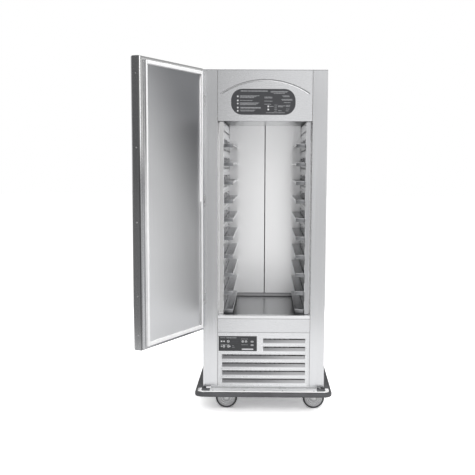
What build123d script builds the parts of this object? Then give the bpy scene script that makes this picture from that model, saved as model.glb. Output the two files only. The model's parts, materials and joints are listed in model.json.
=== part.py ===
from build123d import *
import os

# A mobile air curtain refrigerator. Millimetres, +Z up, the front faces -Y, and the origin is on
# the floor under the middle of the cabinet. The door is modelled closed and then swung open.

# Cabinet skins
CABINET_DEPTH = 970.0
SKIRT_DROP = 21.0
SKIN = 1.5
PANEL_SEAM = 1.5
PANEL_RETURN = 12.0
REAR_LOUVRE_ROWS = 7
REAR_LOUVRE_PITCH = 26.0
REAR_LOUVRE_HEIGHT = 9.0
REAR_LOUVRE_LENGTH = 190.0
REAR_LOUVRE_GAP = 40.0
REAR_LOUVRE_RISE = 76.0

# Front frame
PILLAR_WIDTH = 83.5
PILLAR_RETURN = 48.0
JAMB_DEPTH = 30.0
GRILLE_HEIGHT = 320.0
SILL_HEIGHT = 101.0
OPENING_HEIGHT = 1101.0
HEADER_HEIGHT = 283.0
THRESHOLD_HEIGHT = 19.0
THRESHOLD_PROUD = 1.5
THRESHOLD_ROUND = 5.0
ARC_END_MARGIN = 15.0
ARC_RISE = 77.0
ARC_TOP_MARGIN = 57.0
ARC_GROOVE_WIDTH = 12.0
ARC_GROOVE_DEPTH = 3.0

# Instruction plate on the header
LABEL_WIDTH = 360.0
LABEL_HEIGHT = 142.5
LABEL_X = -10.0
LABEL_RISE = 106.0
LABEL_THICKNESS = 1.2
LABEL_CORNER = 62.0

# Louvred grille at the foot of the front
SLOT_HEIGHT = 32.0
SLOT_TOP_MARGIN = 34.4
SLOT_FOOT_MARGIN = 17.6
SLOT_SIDE_MARGIN = 26.5
SHORT_SLOTS = 2
LONG_SLOTS = 4
SHORT_SLOT_GAP = 36.0
BLADE_RISE = 25.0
BLADE_DEPTH = 12.0

# Control plate. The display is placed from its centre, round keys from its left edge at mid-height and
# oval keys from its right edge.
PLATE_WIDTH = 221.0
PLATE_HEIGHT = 87.0
PLATE_SIDE_MARGIN = 6.5
PLATE_TOP_MARGIN = 21.3
PLATE_THICKNESS = 2.0
WINDOW_MARGIN = 8.0
DISPLAY_WIDTH = 53.0
DISPLAY_HEIGHT = 14.5
DISPLAY_THICKNESS = 0.8
DISPLAY_PLACE = (-13.0, 13.8)
KEY_PROUD = 1.4
KEY_LENGTH = 5.0
KEY_CLEARANCE = 0.4
ROUND_KEY_DIAMETER = 9.0
OVAL_KEY_WIDTH = 18.0
OVAL_KEY_HEIGHT = 9.0
ROUND_KEYS = {"set_key": (56.0, 12.8), "down_key": (30.0, -16.2), "up_key": (56.0, -16.2)}
OVAL_KEYS = {"power_key": (-27.5, 11.8), "defrost_key": (-27.5, -8.2)}
CONTROL_BOX_DEPTH = 55.0
CONTROL_BOX_GAP = 7.0
CONTROL_BOX_WALL = 3.0

# Insulated walls and liner
SIDE_WALL = 60.0
REAR_WALL = 55.0
ROOF_WALL = 50.0
HEADER_WALL = 40.0
FLOOR_WALL = 70.0
LINER_SHEET = 1.2
FLOOR_DROP = 11.0
CEILING_RISE = 10.0
FOAM_CLEARANCE = 0.3

# Back wall panels and curb
BACK_PANEL_STANDOFF = 11.0
BACK_PANEL_SEAM = 6.0
CURB_HEIGHT = 22.0
CURB_DEPTH = 9.0

# Tray slides and the air duct panels that carry them
TRAY_WIDTH = 457.2
TRAY_SIDE_CLEARANCE = 4.4
SLIDE_LEVELS = 10
TOP_SLIDE_DROP = 133.0
BOTTOM_SLIDE_RISE = 36.8
SLIDE_SHEET = 1.5
SLIDE_LEDGE = 53.5
SLIDE_WEB = 48.0
SLIDE_LIP = 12.0
SLIDE_SET_BACK = 67.0
SLIDE_END_GAP = 3.0
DUCT_SHEET = 1.2
DUCT_DEPTH = 23.0
DUCT_SET_BACK = 50.0
DUCT_RETURN = 16.0
DUCT_HEADROOM = 11.0
THROAT = 9.0
VENT_COLUMNS = 8
VENT_LENGTH = 60.0
VENT_HEIGHT = 12.0
VENT_MARGIN = 25.0

# Door
DOOR_SIDE_MARGIN = 1.0
DOOR_TOP_MARGIN = 0.5
DOOR_BOTTOM_RISE = 23.0
DOOR_THICKNESS = 62.0
DOOR_GAP = 12.0
DOOR_SHEET = 1.2
DOOR_OUTER_ROUND = 20.0
INNER_PAN_DEPTH = 14.0
INNER_PAN_ROUND = 12.0
OPEN_ANGLE = 112.5
GASKET_WIDTH = 18.0
GASKET_SIDE_INSET = 34.0
GASKET_END_INSET = 18.0
GASKET_SQUEEZE_GAP = 0.5
GASKET_ROUND = 2.5

# Flush handle cup
CUP_WIDTH = 46.0
CUP_HEIGHT = 130.0
CUP_DEPTH = 24.0
CUP_WALL = 1.5
CUP_RIM = 7.0
CUP_RIM_THICKNESS = 1.5
CUP_CORNER = 8.0
CUP_EDGE_DISTANCE = 60.0
CUP_RISE = 648.0

# Hinges, each a door leaf between the two arms of a cabinet leaf
HINGE_FORWARD = 36.0
HINGE_EDGE_OFFSET = 9.0
HINGE_TOP_DISTANCE = 174.5
HINGE_FOOT_DISTANCE = 175.0
HINGE_ARM_HEIGHT = 16.0
HINGE_DOOR_KNUCKLE = 30.0
HINGE_KNUCKLE_GAP = 0.5
HINGE_KNUCKLE_RADIUS = 6.0
HINGE_PIN_RADIUS = 3.0
HINGE_PIN_CLEARANCE = 0.05
HINGE_PIN_HEAD_RADIUS = 4.5
HINGE_PIN_HEAD_HEIGHT = 2.0
HINGE_LEAF_SHEET = 3.0
HINGE_LEAF_REACH = 28.0
HINGE_ARM_WIDTH = 6.0
HINGE_DOOR_LEAF_SHEET = 1.6
HINGE_DOOR_LEAF_WIDTH = 26.0

# Evaporator in the space above the liner
COIL_LENGTH = 90.0
COIL_DEPTH = 420.0
COIL_HEADROOM = 58.3
COIL_X = -90.0
COIL_FLOOR_GAP = 12.0
COIL_FIN_SLOTS = 12
COIL_SLOT_WIDTH = 10.0
COIL_BAND = 10.0
EVAPORATOR_FAN_INSET = 7.0
EVAPORATOR_FAN_X = 70.0

# Condensing unit in the space below the cavity
COMPRESSOR_RADIUS = 82.0
COMPRESSOR_HEIGHT = 190.0
COMPRESSOR_SIDE_INSET = 180.0
COMPRESSOR_REAR_INSET = 235.0
COMPRESSOR_FOOT = 12.0
COMPRESSOR_ROUND = 28.0
CONDENSER_WIDTH = 420.0
CONDENSER_DEPTH = 60.0
CONDENSER_HEIGHT = 260.0
CONDENSER_SET_BACK = 110.0
CONDENSER_FIN_SLOTS = 14
CONDENSER_FAN_RADIUS = 105.0
CONDENSER_SIDE_GAP = 80.0
SHROUD_SHEET = 2.0
SHROUD_DEPTH = 70.0
FAN_TIP_GAP = 5.0
FAN_BLADES = 5
FAN_BLADE_SHEET = 2.0
FAN_BLADE_PITCH = 28.0
FAN_HUB_RADIUS = 24.0
FAN_HUB_LENGTH = 22.0
MOTOR_RADIUS = 38.0
MOTOR_LENGTH = 55.0
MOTOR_GAP = 1.0
MOTOR_STAND = 28.0
MOTOR_ARM = 10.0
LINE_RADIUS = 5.0
LINE_BEND = 30.0
RISER_SIDE_INSET = 100.0
RISER_DROP = 112.5

# Power inlet on the rear panel
INLET_SIDE_INSET = 90.0
INLET_DROP = 39.0
INLET_WIDTH = 60.0
INLET_HEIGHT = 46.0
INLET_PROUD = 8.0
INLET_DEPTH = 24.0
INLET_WALL = 3.0

# Chassis
PAN_SHEET = 2.5
PAN_FLANGE = 19.0
PAN_FRONT_GAP = 20.0
BRACKET_WIDTH = 40.0
BRACKET_BAR = 12.0
SIDE_BRACKETS_Y = (-200.0, 0.0, 200.0)
FRONT_BRACKETS_X = (-110.0, 110.0)

# Bumper rail, an outward-facing channel that holds the rubber, with the deck plate and side covers
BUMPER_SIDE = 43.0
BUMPER_FRONT = 120.0
BUMPER_REAR = 43.0
BUMPER_CORNER = 55.0
RAIL_DROP = 36.0
RAIL_HEIGHT = 30.5
RAIL_DEPTH = 20.0
RAIL_SHEET = 2.0
RUBBER_RISE = 1.5
RUBBER_HEIGHT = 25.0
RUBBER_PROUD = 16.0
RUBBER_ROUND = 8.0
RUBBER_TONGUE_HEIGHT = 18.0
RUBBER_TONGUE_DEPTH = 15.0
DECK_SHEET = 2.0
DECK_SIDE_MARGIN = 49.0
DECK_CORNER = 14.0
DECK_BELOW_RAIL = 2.0
DECK_GAP = 1.0
COVER_SHEET = 2.0
COVER_REACH = 24.0
COVER_WEB = 6.0
COVER_LIP_GAP = 0.5
COVER_LEAD = 5.0

# Casters
WHEEL_DIAMETER = 127.0
WHEEL_WIDTH = 32.0
TYRE_THICKNESS = 11.5
TYRE_ROUND = 6.0
CORE_INSET = 1.0
HUB_RECESS = 5.0
HUB_BOSS_RADIUS = 17.0
HUB_RIM = 7.0
AXLE_RADIUS = 6.0
AXLE_CLEARANCE = 0.05
AXLE_HEAD_RADIUS = 9.5
AXLE_HEAD_LENGTH = 6.0
FORK_SHEET = 3.0
FORK_SIDE_GAP = 3.0
WHEEL_HEADROOM = 7.0
CASTER_PLATE = 5.0
CASTER_PLATE_LENGTH = 100.0
CASTER_PLATE_WIDTH = 90.0
CASTER_BOLT_SPACING_X = 76.0
CASTER_BOLT_SPACING_Y = 66.0
CASTER_BOLT_RADIUS = 6.0
CASTER_BOLT_HEAD = 5.0
SWIVEL_TRAIL = 38.6
CASTER_SIDE_INSET = 94.5
FRONT_SWIVEL_INSET = 70.0
REAR_AXLE_INSET = 90.0
CROWN_SHEET = 4.0
RACE_RADIUS = 31.0
RACE_GAP = 0.5
LOWER_RACE_HEIGHT = 13.0
UPPER_RACE_HEIGHT = 8.0
KINGPIN_RADIUS = 7.0
KINGPIN_CLEARANCE = 0.05
KINGPIN_HEAD_RADIUS = 12.0
KINGPIN_HEAD = 4.0
KINGPIN_HEAD_GAP = 0.5

# Foot brake on each front caster
BRAKE_PIVOT_X = 60.0
BRAKE_PIVOT_DROP = 3.0
BRAKE_PIVOT_RADIUS = 2.5
BRAKE_PIVOT_CLEARANCE = 0.05
BRAKE_LUG_RADIUS = 4.5
BRAKE_BARREL_RADIUS = 4.0
BRAKE_REACH = 36.0
BRAKE_FALL = 17.0
BRAKE_SHEET = 3.0
BRAKE_SIDE_GAP = 1.0
BRAKE_TREAD = 9.0

# Heights that follow from the sizes above, from the floor up
WHEEL_RADIUS = WHEEL_DIAMETER / 2
CROWN_BOTTOM = WHEEL_DIAMETER + WHEEL_HEADROOM
BRAKE_PIVOT_Z = CROWN_BOTTOM - BRAKE_PIVOT_DROP
RACE_TOP = CROWN_BOTTOM + LOWER_RACE_HEIGHT
CASTER_HEIGHT = RACE_TOP + UPPER_RACE_HEIGHT + CASTER_PLATE
PAN_BOTTOM = CASTER_HEIGHT
PAN_TOP = PAN_BOTTOM + PAN_SHEET
CABINET_FOOT = CASTER_HEIGHT - SKIRT_DROP
RAIL_BOTTOM = CABINET_FOOT - RAIL_DROP
RAIL_TOP = RAIL_BOTTOM + RAIL_HEIGHT
RUBBER_BOTTOM = RAIL_BOTTOM + RUBBER_RISE
SILL_BOTTOM = CABINET_FOOT + GRILLE_HEIGHT
SILL_TOP = SILL_BOTTOM + SILL_HEIGHT
LINER_FLOOR = SILL_TOP - FLOOR_DROP
HEADER_BOTTOM = SILL_TOP + OPENING_HEIGHT
LINER_CEILING = HEADER_BOTTOM + CEILING_RISE
LABEL_Z = HEADER_BOTTOM + LABEL_RISE
CABINET_TOP = HEADER_BOTTOM + HEADER_HEIGHT
ARC_APEX_Z = CABINET_TOP - ARC_TOP_MARGIN
PLENUM_TOP = CABINET_TOP - SKIN - ROOF_WALL
COIL_BOTTOM = LINER_CEILING + LINER_SHEET + COIL_FLOOR_GAP
COIL_HEIGHT = PLENUM_TOP - COIL_HEADROOM - COIL_BOTTOM
EVAPORATOR_FAN_RADIUS = COIL_HEIGHT / 2 - EVAPORATOR_FAN_INSET
RISER_Z = PLENUM_TOP - RISER_DROP
DOOR_BOTTOM = SILL_BOTTOM + DOOR_BOTTOM_RISE
DOOR_TOP = CABINET_TOP - DOOR_TOP_MARGIN
CUP_Z = DOOR_BOTTOM + CUP_RISE
HINGE_HALF_HEIGHT = HINGE_DOOR_KNUCKLE / 2 + HINGE_KNUCKLE_GAP + HINGE_ARM_HEIGHT
TOP_HINGE_Z = DOOR_TOP - HINGE_TOP_DISTANCE
FOOT_HINGE_Z = DOOR_BOTTOM + HINGE_FOOT_DISTANCE
HINGE_CENTRES_Z = (TOP_HINGE_Z, (TOP_HINGE_Z + FOOT_HINGE_Z) / 2, FOOT_HINGE_Z)
TOP_SLIDE_Z = LINER_CEILING - TOP_SLIDE_DROP
SLIDE_PITCH = (TOP_SLIDE_Z - LINER_FLOOR - BOTTOM_SLIDE_RISE) / (SLIDE_LEVELS - 1)
SLOT_FIRST_TOP = SILL_BOTTOM - SLOT_TOP_MARGIN
SLOT_RUN = GRILLE_HEIGHT - SLOT_TOP_MARGIN - SLOT_FOOT_MARGIN - SLOT_HEIGHT
SLOT_PITCH = SLOT_RUN / (SHORT_SLOTS + LONG_SLOTS - 1)
PLATE_Z = SILL_BOTTOM - PLATE_TOP_MARGIN - PLATE_HEIGHT / 2
DISPLAY_Z = PLATE_Z + DISPLAY_PLACE[1]
INLET_Z = SILL_BOTTOM - INLET_DROP
REAR_LOUVRE_FIRST_Z = CABINET_FOOT + REAR_LOUVRE_RISE

# Distances to each side of the middle, from the trays outwards
SLIDE_X = TRAY_WIDTH / 2 + TRAY_SIDE_CLEARANCE
DUCT_X = SLIDE_X + SLIDE_SHEET
DUCT_OUTER_X = DUCT_X + DUCT_DEPTH
JAMB_X = DUCT_OUTER_X + THROAT
HALF_WIDTH = JAMB_X + PILLAR_WIDTH
LINER_X = HALF_WIDTH - SIDE_WALL
ARC_HALF_CHORD = JAMB_X - PANEL_SEAM - ARC_END_MARGIN
PLATE_X = PLATE_SIDE_MARGIN + PLATE_WIDTH / 2 - JAMB_X
DISPLAY_X = PLATE_X + DISPLAY_PLACE[0]
SHORT_SLOT_LEFT = PLATE_X + PLATE_WIDTH / 2 + SHORT_SLOT_GAP
DOOR_HALF = HALF_WIDTH - DOOR_SIDE_MARGIN
HINGE_X = -DOOR_HALF - HINGE_EDGE_OFFSET
BUMPER_HALF = HALF_WIDTH + BUMPER_SIDE
RAIL_INSET = RUBBER_PROUD + RAIL_DEPTH
DECK_HALF_WIDTH = BUMPER_HALF - RAIL_INSET - DECK_SIDE_MARGIN
SWIVEL_X = HALF_WIDTH - CASTER_SIDE_INSET
FORK_INNER = WHEEL_WIDTH / 2 + FORK_SIDE_GAP
FORK_OUTER = FORK_INNER + FORK_SHEET
COMPRESSOR_X = HALF_WIDTH - COMPRESSOR_SIDE_INSET
CONDENSER_FAN_X = CONDENSER_SIDE_GAP + CONDENSER_WIDTH / 2 - HALF_WIDTH
RISER_X = HALF_WIDTH - RISER_SIDE_INSET
INLET_X = INLET_SIDE_INSET - HALF_WIDTH

# Depths, from the front to the rear
FRONT = -CABINET_DEPTH / 2
REAR = CABINET_DEPTH / 2
JAMB_REAR = FRONT + JAMB_DEPTH
LINER_REAR = REAR - REAR_WALL
BACK_PANEL_Y = LINER_REAR - BACK_PANEL_STANDOFF
DOOR_INNER_Y = FRONT - DOOR_GAP
DOOR_OUTER_Y = DOOR_INNER_Y - DOOR_THICKNESS
DOOR_SPLIT_Y = DOOR_INNER_Y - INNER_PAN_DEPTH
HINGE_Y = FRONT - HINGE_FORWARD
COMPRESSOR_Y = REAR - COMPRESSOR_REAR_INSET
BUMPER_FRONT_Y = FRONT - BUMPER_FRONT
BUMPER_REAR_Y = REAR + BUMPER_REAR
FRONT_SWIVEL_Y = FRONT + FRONT_SWIVEL_INSET
REAR_AXLE_Y = REAR - REAR_AXLE_INSET
SIDES = {"left": -1, "right": 1}


def block(x_limits, y_limits, z_limits):
    """A box between pairs of limits."""
    sizes = [high - low for low, high in (x_limits, y_limits, z_limits)]
    middles = [(high + low) / 2 for low, high in (x_limits, y_limits, z_limits)]
    return Pos(*middles) * Box(*sizes)


def rod(centre, radius, length, axis="Z"):
    """A cylinder about its centre, along X, Y or Z."""
    turn = {"X": Rot(0, 90, 0), "Y": Rot(90, 0, 0), "Z": Rot(0, 0, 0)}[axis]
    return Pos(*centre) * turn * Cylinder(radius, length)


def mirrored(shape):
    """The same shape on the other side of the cabinet."""
    return mirror(shape, about=Plane.YZ)


def pair(shape):
    """A left and a right copy as separate solids."""
    return group([shape, mirrored(shape)])


def group(shapes):
    """Separate solids that share one node."""
    return Compound([solid for shape in shapes for solid in shape.solids()])


def rounded_plate(width, height, corner, thickness, centre_x, centre_z, front_y):
    """An upright plate with rounded corners whose front face is at front_y."""
    outline = Plane.XZ * RectangleRounded(width, height, corner)
    return Pos(centre_x, front_y + thickness, centre_z) * extrude(outline, thickness)


def slide_heights():
    return [TOP_SLIDE_Z - level * SLIDE_PITCH for level in range(SLIDE_LEVELS)]


# Chassis and bumper


def base_chassis():
    front, rear = FRONT + PAN_FRONT_GAP, REAR - SKIN - FOAM_CLEARANCE
    side = HALF_WIDTH - 2 * SKIN - FOAM_CLEARANCE
    pan = block((-side, side), (front, rear), (PAN_BOTTOM - PAN_FLANGE, PAN_TOP))
    pan -= block(
        (-side + PAN_SHEET, side - PAN_SHEET),
        (front + PAN_SHEET, rear - PAN_SHEET),
        (PAN_BOTTOM - PAN_FLANGE, PAN_BOTTOM),
    )
    rail_x = BUMPER_HALF - RAIL_INSET
    post_x = rail_x - BRACKET_WIDTH
    middle_z = RAIL_BOTTOM + RAIL_HEIGHT / 2
    solids = [pan]
    for y in SIDE_BRACKETS_Y:
        span = (y - BRACKET_WIDTH / 2, y + BRACKET_WIDTH / 2)
        bar = block((post_x, rail_x), span, (middle_z - BRACKET_BAR, middle_z))
        post = block((post_x, post_x + BRACKET_BAR), span, (middle_z - BRACKET_BAR, PAN_BOTTOM))
        solids += [bar + post, mirrored(bar + post)]
    rail_y = BUMPER_FRONT_Y + RAIL_INSET
    post_y = front + 2 * BRACKET_BAR
    bar_top = RAIL_TOP - DECK_BELOW_RAIL - DECK_SHEET
    for x in FRONT_BRACKETS_X:
        span = (x - BRACKET_WIDTH / 2, x + BRACKET_WIDTH / 2)
        bar = block(span, (rail_y, post_y), (bar_top - BRACKET_BAR, bar_top))
        post = block(span, (post_y - BRACKET_BAR, post_y), (bar_top - BRACKET_BAR, PAN_BOTTOM))
        solids.append(bar + post)
    return group(solids)


def front_deck_plate():
    rail_y = BUMPER_FRONT_Y + RAIL_INSET
    depth = FRONT - DECK_GAP - rail_y
    top = RAIL_TOP - DECK_BELOW_RAIL
    plate = block((-DECK_HALF_WIDTH, DECK_HALF_WIDTH), (rail_y, rail_y + depth), (top - DECK_SHEET, top))
    corners = plate.edges().filter_by(Axis.Z).group_by(Axis.Y)[0]
    return fillet(corners, DECK_CORNER)


def bumper_ring(inset, depth, bottom, height):
    """A rounded ring whose outer face is inset from the outside of the rubber."""
    width = 2 * (BUMPER_HALF - inset)
    length = BUMPER_REAR_Y - BUMPER_FRONT_Y - 2 * inset
    corner = BUMPER_CORNER - inset
    outline = RectangleRounded(width, length, corner)
    outline -= RectangleRounded(width - 2 * depth, length - 2 * depth, corner - depth)
    middle_y = (BUMPER_FRONT_Y + BUMPER_REAR_Y) / 2
    return Pos(0, middle_y, bottom) * extrude(outline, height)


def in_eight(ring):
    """The ring cut where its corners meet the straights, as four corners and four straights."""
    x = BUMPER_HALF - BUMPER_CORNER
    front, rear = BUMPER_FRONT_Y + BUMPER_CORNER, BUMPER_REAR_Y - BUMPER_CORNER
    x_cuts = [(-BUMPER_HALF, -x), (-x, x), (x, BUMPER_HALF)]
    y_cuts = [(BUMPER_FRONT_Y, front), (front, rear), (rear, BUMPER_REAR_Y)]
    height = (RAIL_BOTTOM, RAIL_TOP)
    pieces = []
    for i, x_cut in enumerate(x_cuts):
        for j, y_cut in enumerate(y_cuts):
            if (i, j) != (1, 1):
                pieces.append(ring & block(x_cut, y_cut, height))
    return group(pieces)


def bumper_rail():
    ring = bumper_ring(RUBBER_PROUD, RAIL_DEPTH, RAIL_BOTTOM, RAIL_HEIGHT)
    channel = bumper_ring(
        RUBBER_PROUD, RAIL_DEPTH - RAIL_SHEET, RAIL_BOTTOM + RAIL_SHEET, RAIL_HEIGHT - 2 * RAIL_SHEET
    )
    return in_eight(ring - channel)


def bumper_rubber():
    nose = bumper_ring(0, RUBBER_PROUD, RUBBER_BOTTOM, RUBBER_HEIGHT)
    outside = [
        edge
        for edge in nose.edges().filter_by(GeomType.LINE) + nose.edges().filter_by(GeomType.CIRCLE)
        if abs(edge.tangent_at(0.5).Z) < 0.5 and is_outermost(edge @ 0.5)
    ]
    nose = fillet(outside, RUBBER_ROUND)
    tongue_bottom = RUBBER_BOTTOM + (RUBBER_HEIGHT - RUBBER_TONGUE_HEIGHT) / 2
    tongue = bumper_ring(RUBBER_PROUD, RUBBER_TONGUE_DEPTH, tongue_bottom, RUBBER_TONGUE_HEIGHT)
    covers = side_cover()
    return group([in_eight(nose + tongue), *covers, *[mirrored(cover) for cover in covers]])


def side_cover():
    """The flats that close the strip between the right side of the cabinet and the rail: one beside the
    deck plate, one in under the cabinet, and a cap that laps over the rail."""
    rail_x = BUMPER_HALF - RAIL_INSET
    rail_y = BUMPER_FRONT_Y + RAIL_INSET
    cap_y = (FRONT - COVER_LEAD, BUMPER_REAR_Y - BUMPER_CORNER)
    flat_top = RAIL_TOP - DECK_BELOW_RAIL
    flat_z = (flat_top - COVER_SHEET, flat_top)
    inside_rail = extrude(
        RectangleRounded(2 * rail_x, BUMPER_REAR_Y - BUMPER_FRONT_Y - 2 * RAIL_INSET, BUMPER_CORNER - RAIL_INSET),
        flat_top,
    )
    inside_rail = Pos(0, (BUMPER_FRONT_Y + BUMPER_REAR_Y) / 2, 0) * inside_rail
    corner = block((DECK_HALF_WIDTH + DECK_GAP, rail_x), (rail_y, cap_y[0]), flat_z) & inside_rail
    strip = block((rail_x - COVER_REACH, rail_x - COVER_WEB), cap_y, flat_z)
    outside_x = BUMPER_HALF - RUBBER_PROUD + COVER_SHEET
    lip_bottom = RUBBER_BOTTOM + RUBBER_HEIGHT + COVER_LIP_GAP
    cap = block((rail_x - COVER_WEB, outside_x), cap_y, (flat_z[0], RAIL_TOP + COVER_SHEET))
    cap -= block((rail_x, outside_x - COVER_SHEET), cap_y, (flat_z[0], RAIL_TOP))
    cap -= block((outside_x - COVER_SHEET, outside_x), cap_y, (flat_z[0], lip_bottom))
    return [corner, strip, cap]


def is_outermost(point):
    """Whether a point of the rubber's nose is on its outer face."""
    middle_y = (BUMPER_FRONT_Y + BUMPER_REAR_Y) / 2
    half_length = (BUMPER_REAR_Y - BUMPER_FRONT_Y) / 2
    x, y = abs(point.X), abs(point.Y - middle_y)
    core_x, core_y = BUMPER_HALF - BUMPER_CORNER, half_length - BUMPER_CORNER
    if x > core_x and y > core_y:
        reach = ((x - core_x) ** 2 + (y - core_y) ** 2) ** 0.5
        return reach > BUMPER_CORNER - RUBBER_PROUD / 2
    return x > BUMPER_HALF - RUBBER_PROUD / 2 or y > half_length - RUBBER_PROUD / 2


# Cabinet skins and front frame


def side_panel():
    """The right side panel."""
    return block((HALF_WIDTH - SKIN, HALF_WIDTH), (FRONT + SKIN, REAR - SKIN), (CABINET_FOOT, CABINET_TOP - SKIN))


def rear_panel():
    panel = block((-HALF_WIDTH, HALF_WIDTH), (REAR - SKIN, REAR), (CABINET_FOOT, CABINET_TOP - SKIN))
    for row in range(REAR_LOUVRE_ROWS):
        z = REAR_LOUVRE_FIRST_Z + row * REAR_LOUVRE_PITCH
        for side in SIDES.values():
            x = side * (REAR_LOUVRE_LENGTH + REAR_LOUVRE_GAP) / 2
            slot = Plane.XZ * SlotOverall(REAR_LOUVRE_LENGTH, REAR_LOUVRE_HEIGHT)
            panel -= Pos(x, REAR + SKIN, z) * extrude(slot, 4 * SKIN)
    inset = INLET_WALL - FOAM_CLEARANCE
    inlet_x = (INLET_X - INLET_WIDTH / 2 + inset, INLET_X + INLET_WIDTH / 2 - inset)
    inlet_z = (INLET_Z - INLET_HEIGHT / 2 + inset, INLET_Z + INLET_HEIGHT / 2 - inset)
    return panel - block(inlet_x, (REAR - 2 * SKIN, REAR + SKIN), inlet_z)


def top_panel():
    return block((-HALF_WIDTH, HALF_WIDTH), (FRONT, REAR), (CABINET_TOP - SKIN, CABINET_TOP))


def front_pillar():
    """The right front pillar: a folded sheet with an outer return, a jamb and a rear flange."""
    height = (CABINET_FOOT, CABINET_TOP - SKIN)
    jamb_height = (SILL_BOTTOM, CABINET_TOP - SKIN)
    face = block((JAMB_X, HALF_WIDTH), (FRONT, FRONT + SKIN), height)
    outer_x = HALF_WIDTH - SKIN
    outer = block((outer_x - SKIN, outer_x), (FRONT, FRONT + PILLAR_RETURN), height)
    jamb = block((JAMB_X, JAMB_X + SKIN), (FRONT, JAMB_REAR), jamb_height)
    flange = block((JAMB_X, LINER_X + LINER_SHEET), (JAMB_REAR - SKIN, JAMB_REAR), jamb_height)
    return face + outer + jamb + flange


def arc_torus(tube_width, tube_depth):
    """A ring along the header's arc whose section reaches tube_depth behind the face."""
    arc_radius = (ARC_HALF_CHORD**2 + ARC_RISE**2) / (2 * ARC_RISE)
    tube_radius = ((tube_width / 2) ** 2 + tube_depth**2) / (2 * tube_depth)
    centre_z = ARC_APEX_Z - arc_radius
    tube_y = FRONT + tube_depth - tube_radius
    ring = Pos(0, tube_y, centre_z) * Rot(90, 0, 0) * Torus(arc_radius, tube_radius)
    low_z = ARC_APEX_Z - ARC_RISE
    window = block(
        (-ARC_HALF_CHORD, ARC_HALF_CHORD), (FRONT - tube_depth, FRONT + 2 * tube_depth), (low_z, ARC_APEX_Z + tube_width)
    )
    return ring & window


def header_panel():
    half = JAMB_X - PANEL_SEAM
    width, top = (-half, half), CABINET_TOP - SKIN
    face = block(width, (FRONT, FRONT + SKIN), (HEADER_BOTTOM, top))
    face += arc_torus(ARC_GROOVE_WIDTH + 2 * SKIN, ARC_GROOVE_DEPTH + SKIN) & block(
        width, (FRONT, FRONT + 2 * PANEL_RETURN), (HEADER_BOTTOM, top)
    )
    face -= arc_torus(ARC_GROOVE_WIDTH, ARC_GROOVE_DEPTH)
    lintel = block(width, (FRONT, JAMB_REAR), (HEADER_BOTTOM, HEADER_BOTTOM + SKIN))
    flange = block(width, (JAMB_REAR - SKIN, JAMB_REAR), (HEADER_BOTTOM, LINER_CEILING + LINER_SHEET))
    ends = block((half - SKIN, half), (FRONT, FRONT + PANEL_RETURN), (HEADER_BOTTOM, top))
    return face + lintel + flange + ends + mirrored(ends)


def operation_label():
    return rounded_plate(
        LABEL_WIDTH, LABEL_HEIGHT, LABEL_CORNER, LABEL_THICKNESS, LABEL_X, LABEL_Z, FRONT - LABEL_THICKNESS
    )


def sill_panel():
    half = JAMB_X - PANEL_SEAM
    width, top = (-half, half), SILL_TOP - SKIN
    face = block(width, (FRONT, FRONT + SKIN), (SILL_BOTTOM + PANEL_SEAM, top))
    shelf = block(width, (FRONT, JAMB_REAR), (top - SKIN, top))
    flange = block(width, (JAMB_REAR - SKIN, JAMB_REAR), (LINER_FLOOR - LINER_SHEET, top))
    foot = block(width, (FRONT, FRONT + PANEL_RETURN), (SILL_BOTTOM + PANEL_SEAM, SILL_BOTTOM + PANEL_SEAM + SKIN))
    return face + shelf + flange + foot


def threshold_strip():
    half = JAMB_X - PANEL_SEAM
    front = FRONT - THRESHOLD_PROUD
    strip = block((-half, half), (front, JAMB_REAR + SKIN), (SILL_TOP - THRESHOLD_HEIGHT, SILL_TOP))
    nose = strip.edges().filter_by(Axis.X).group_by(Axis.Y)[0].sort_by(Axis.Z)[-1]
    strip = fillet(nose, THRESHOLD_ROUND)
    strip -= block((-half, half), (FRONT, JAMB_REAR), (SILL_TOP - THRESHOLD_HEIGHT, SILL_TOP - SKIN))
    return strip - block((-half, half), (JAMB_REAR, JAMB_REAR + SKIN), (SILL_TOP - THRESHOLD_HEIGHT, LINER_FLOOR))


def grille_slots():
    """Left edge, right edge and top of each slot."""
    edge = JAMB_X - SLOT_SIDE_MARGIN
    slots = []
    for row in range(SHORT_SLOTS + LONG_SLOTS):
        left = SHORT_SLOT_LEFT if row < SHORT_SLOTS else -edge
        slots.append((left, edge, SLOT_FIRST_TOP - row * SLOT_PITCH))
    return slots


def grille_blade(left, right, foot):
    """A blade that leans back from the lower edge of its slot, open above."""
    section = Polyline(
        (FRONT, foot - SKIN),
        (FRONT, foot),
        (FRONT + BLADE_DEPTH, foot + BLADE_RISE),
        (FRONT + BLADE_DEPTH + SKIN, foot + BLADE_RISE),
        (FRONT + SKIN, foot),
        (FRONT + SKIN, foot - SKIN),
        close=True,
    )
    blade = extrude(Plane.YZ * make_face(section), right - left)
    return Pos(left - blade.bounding_box().min.X, 0, 0) * blade


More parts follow.
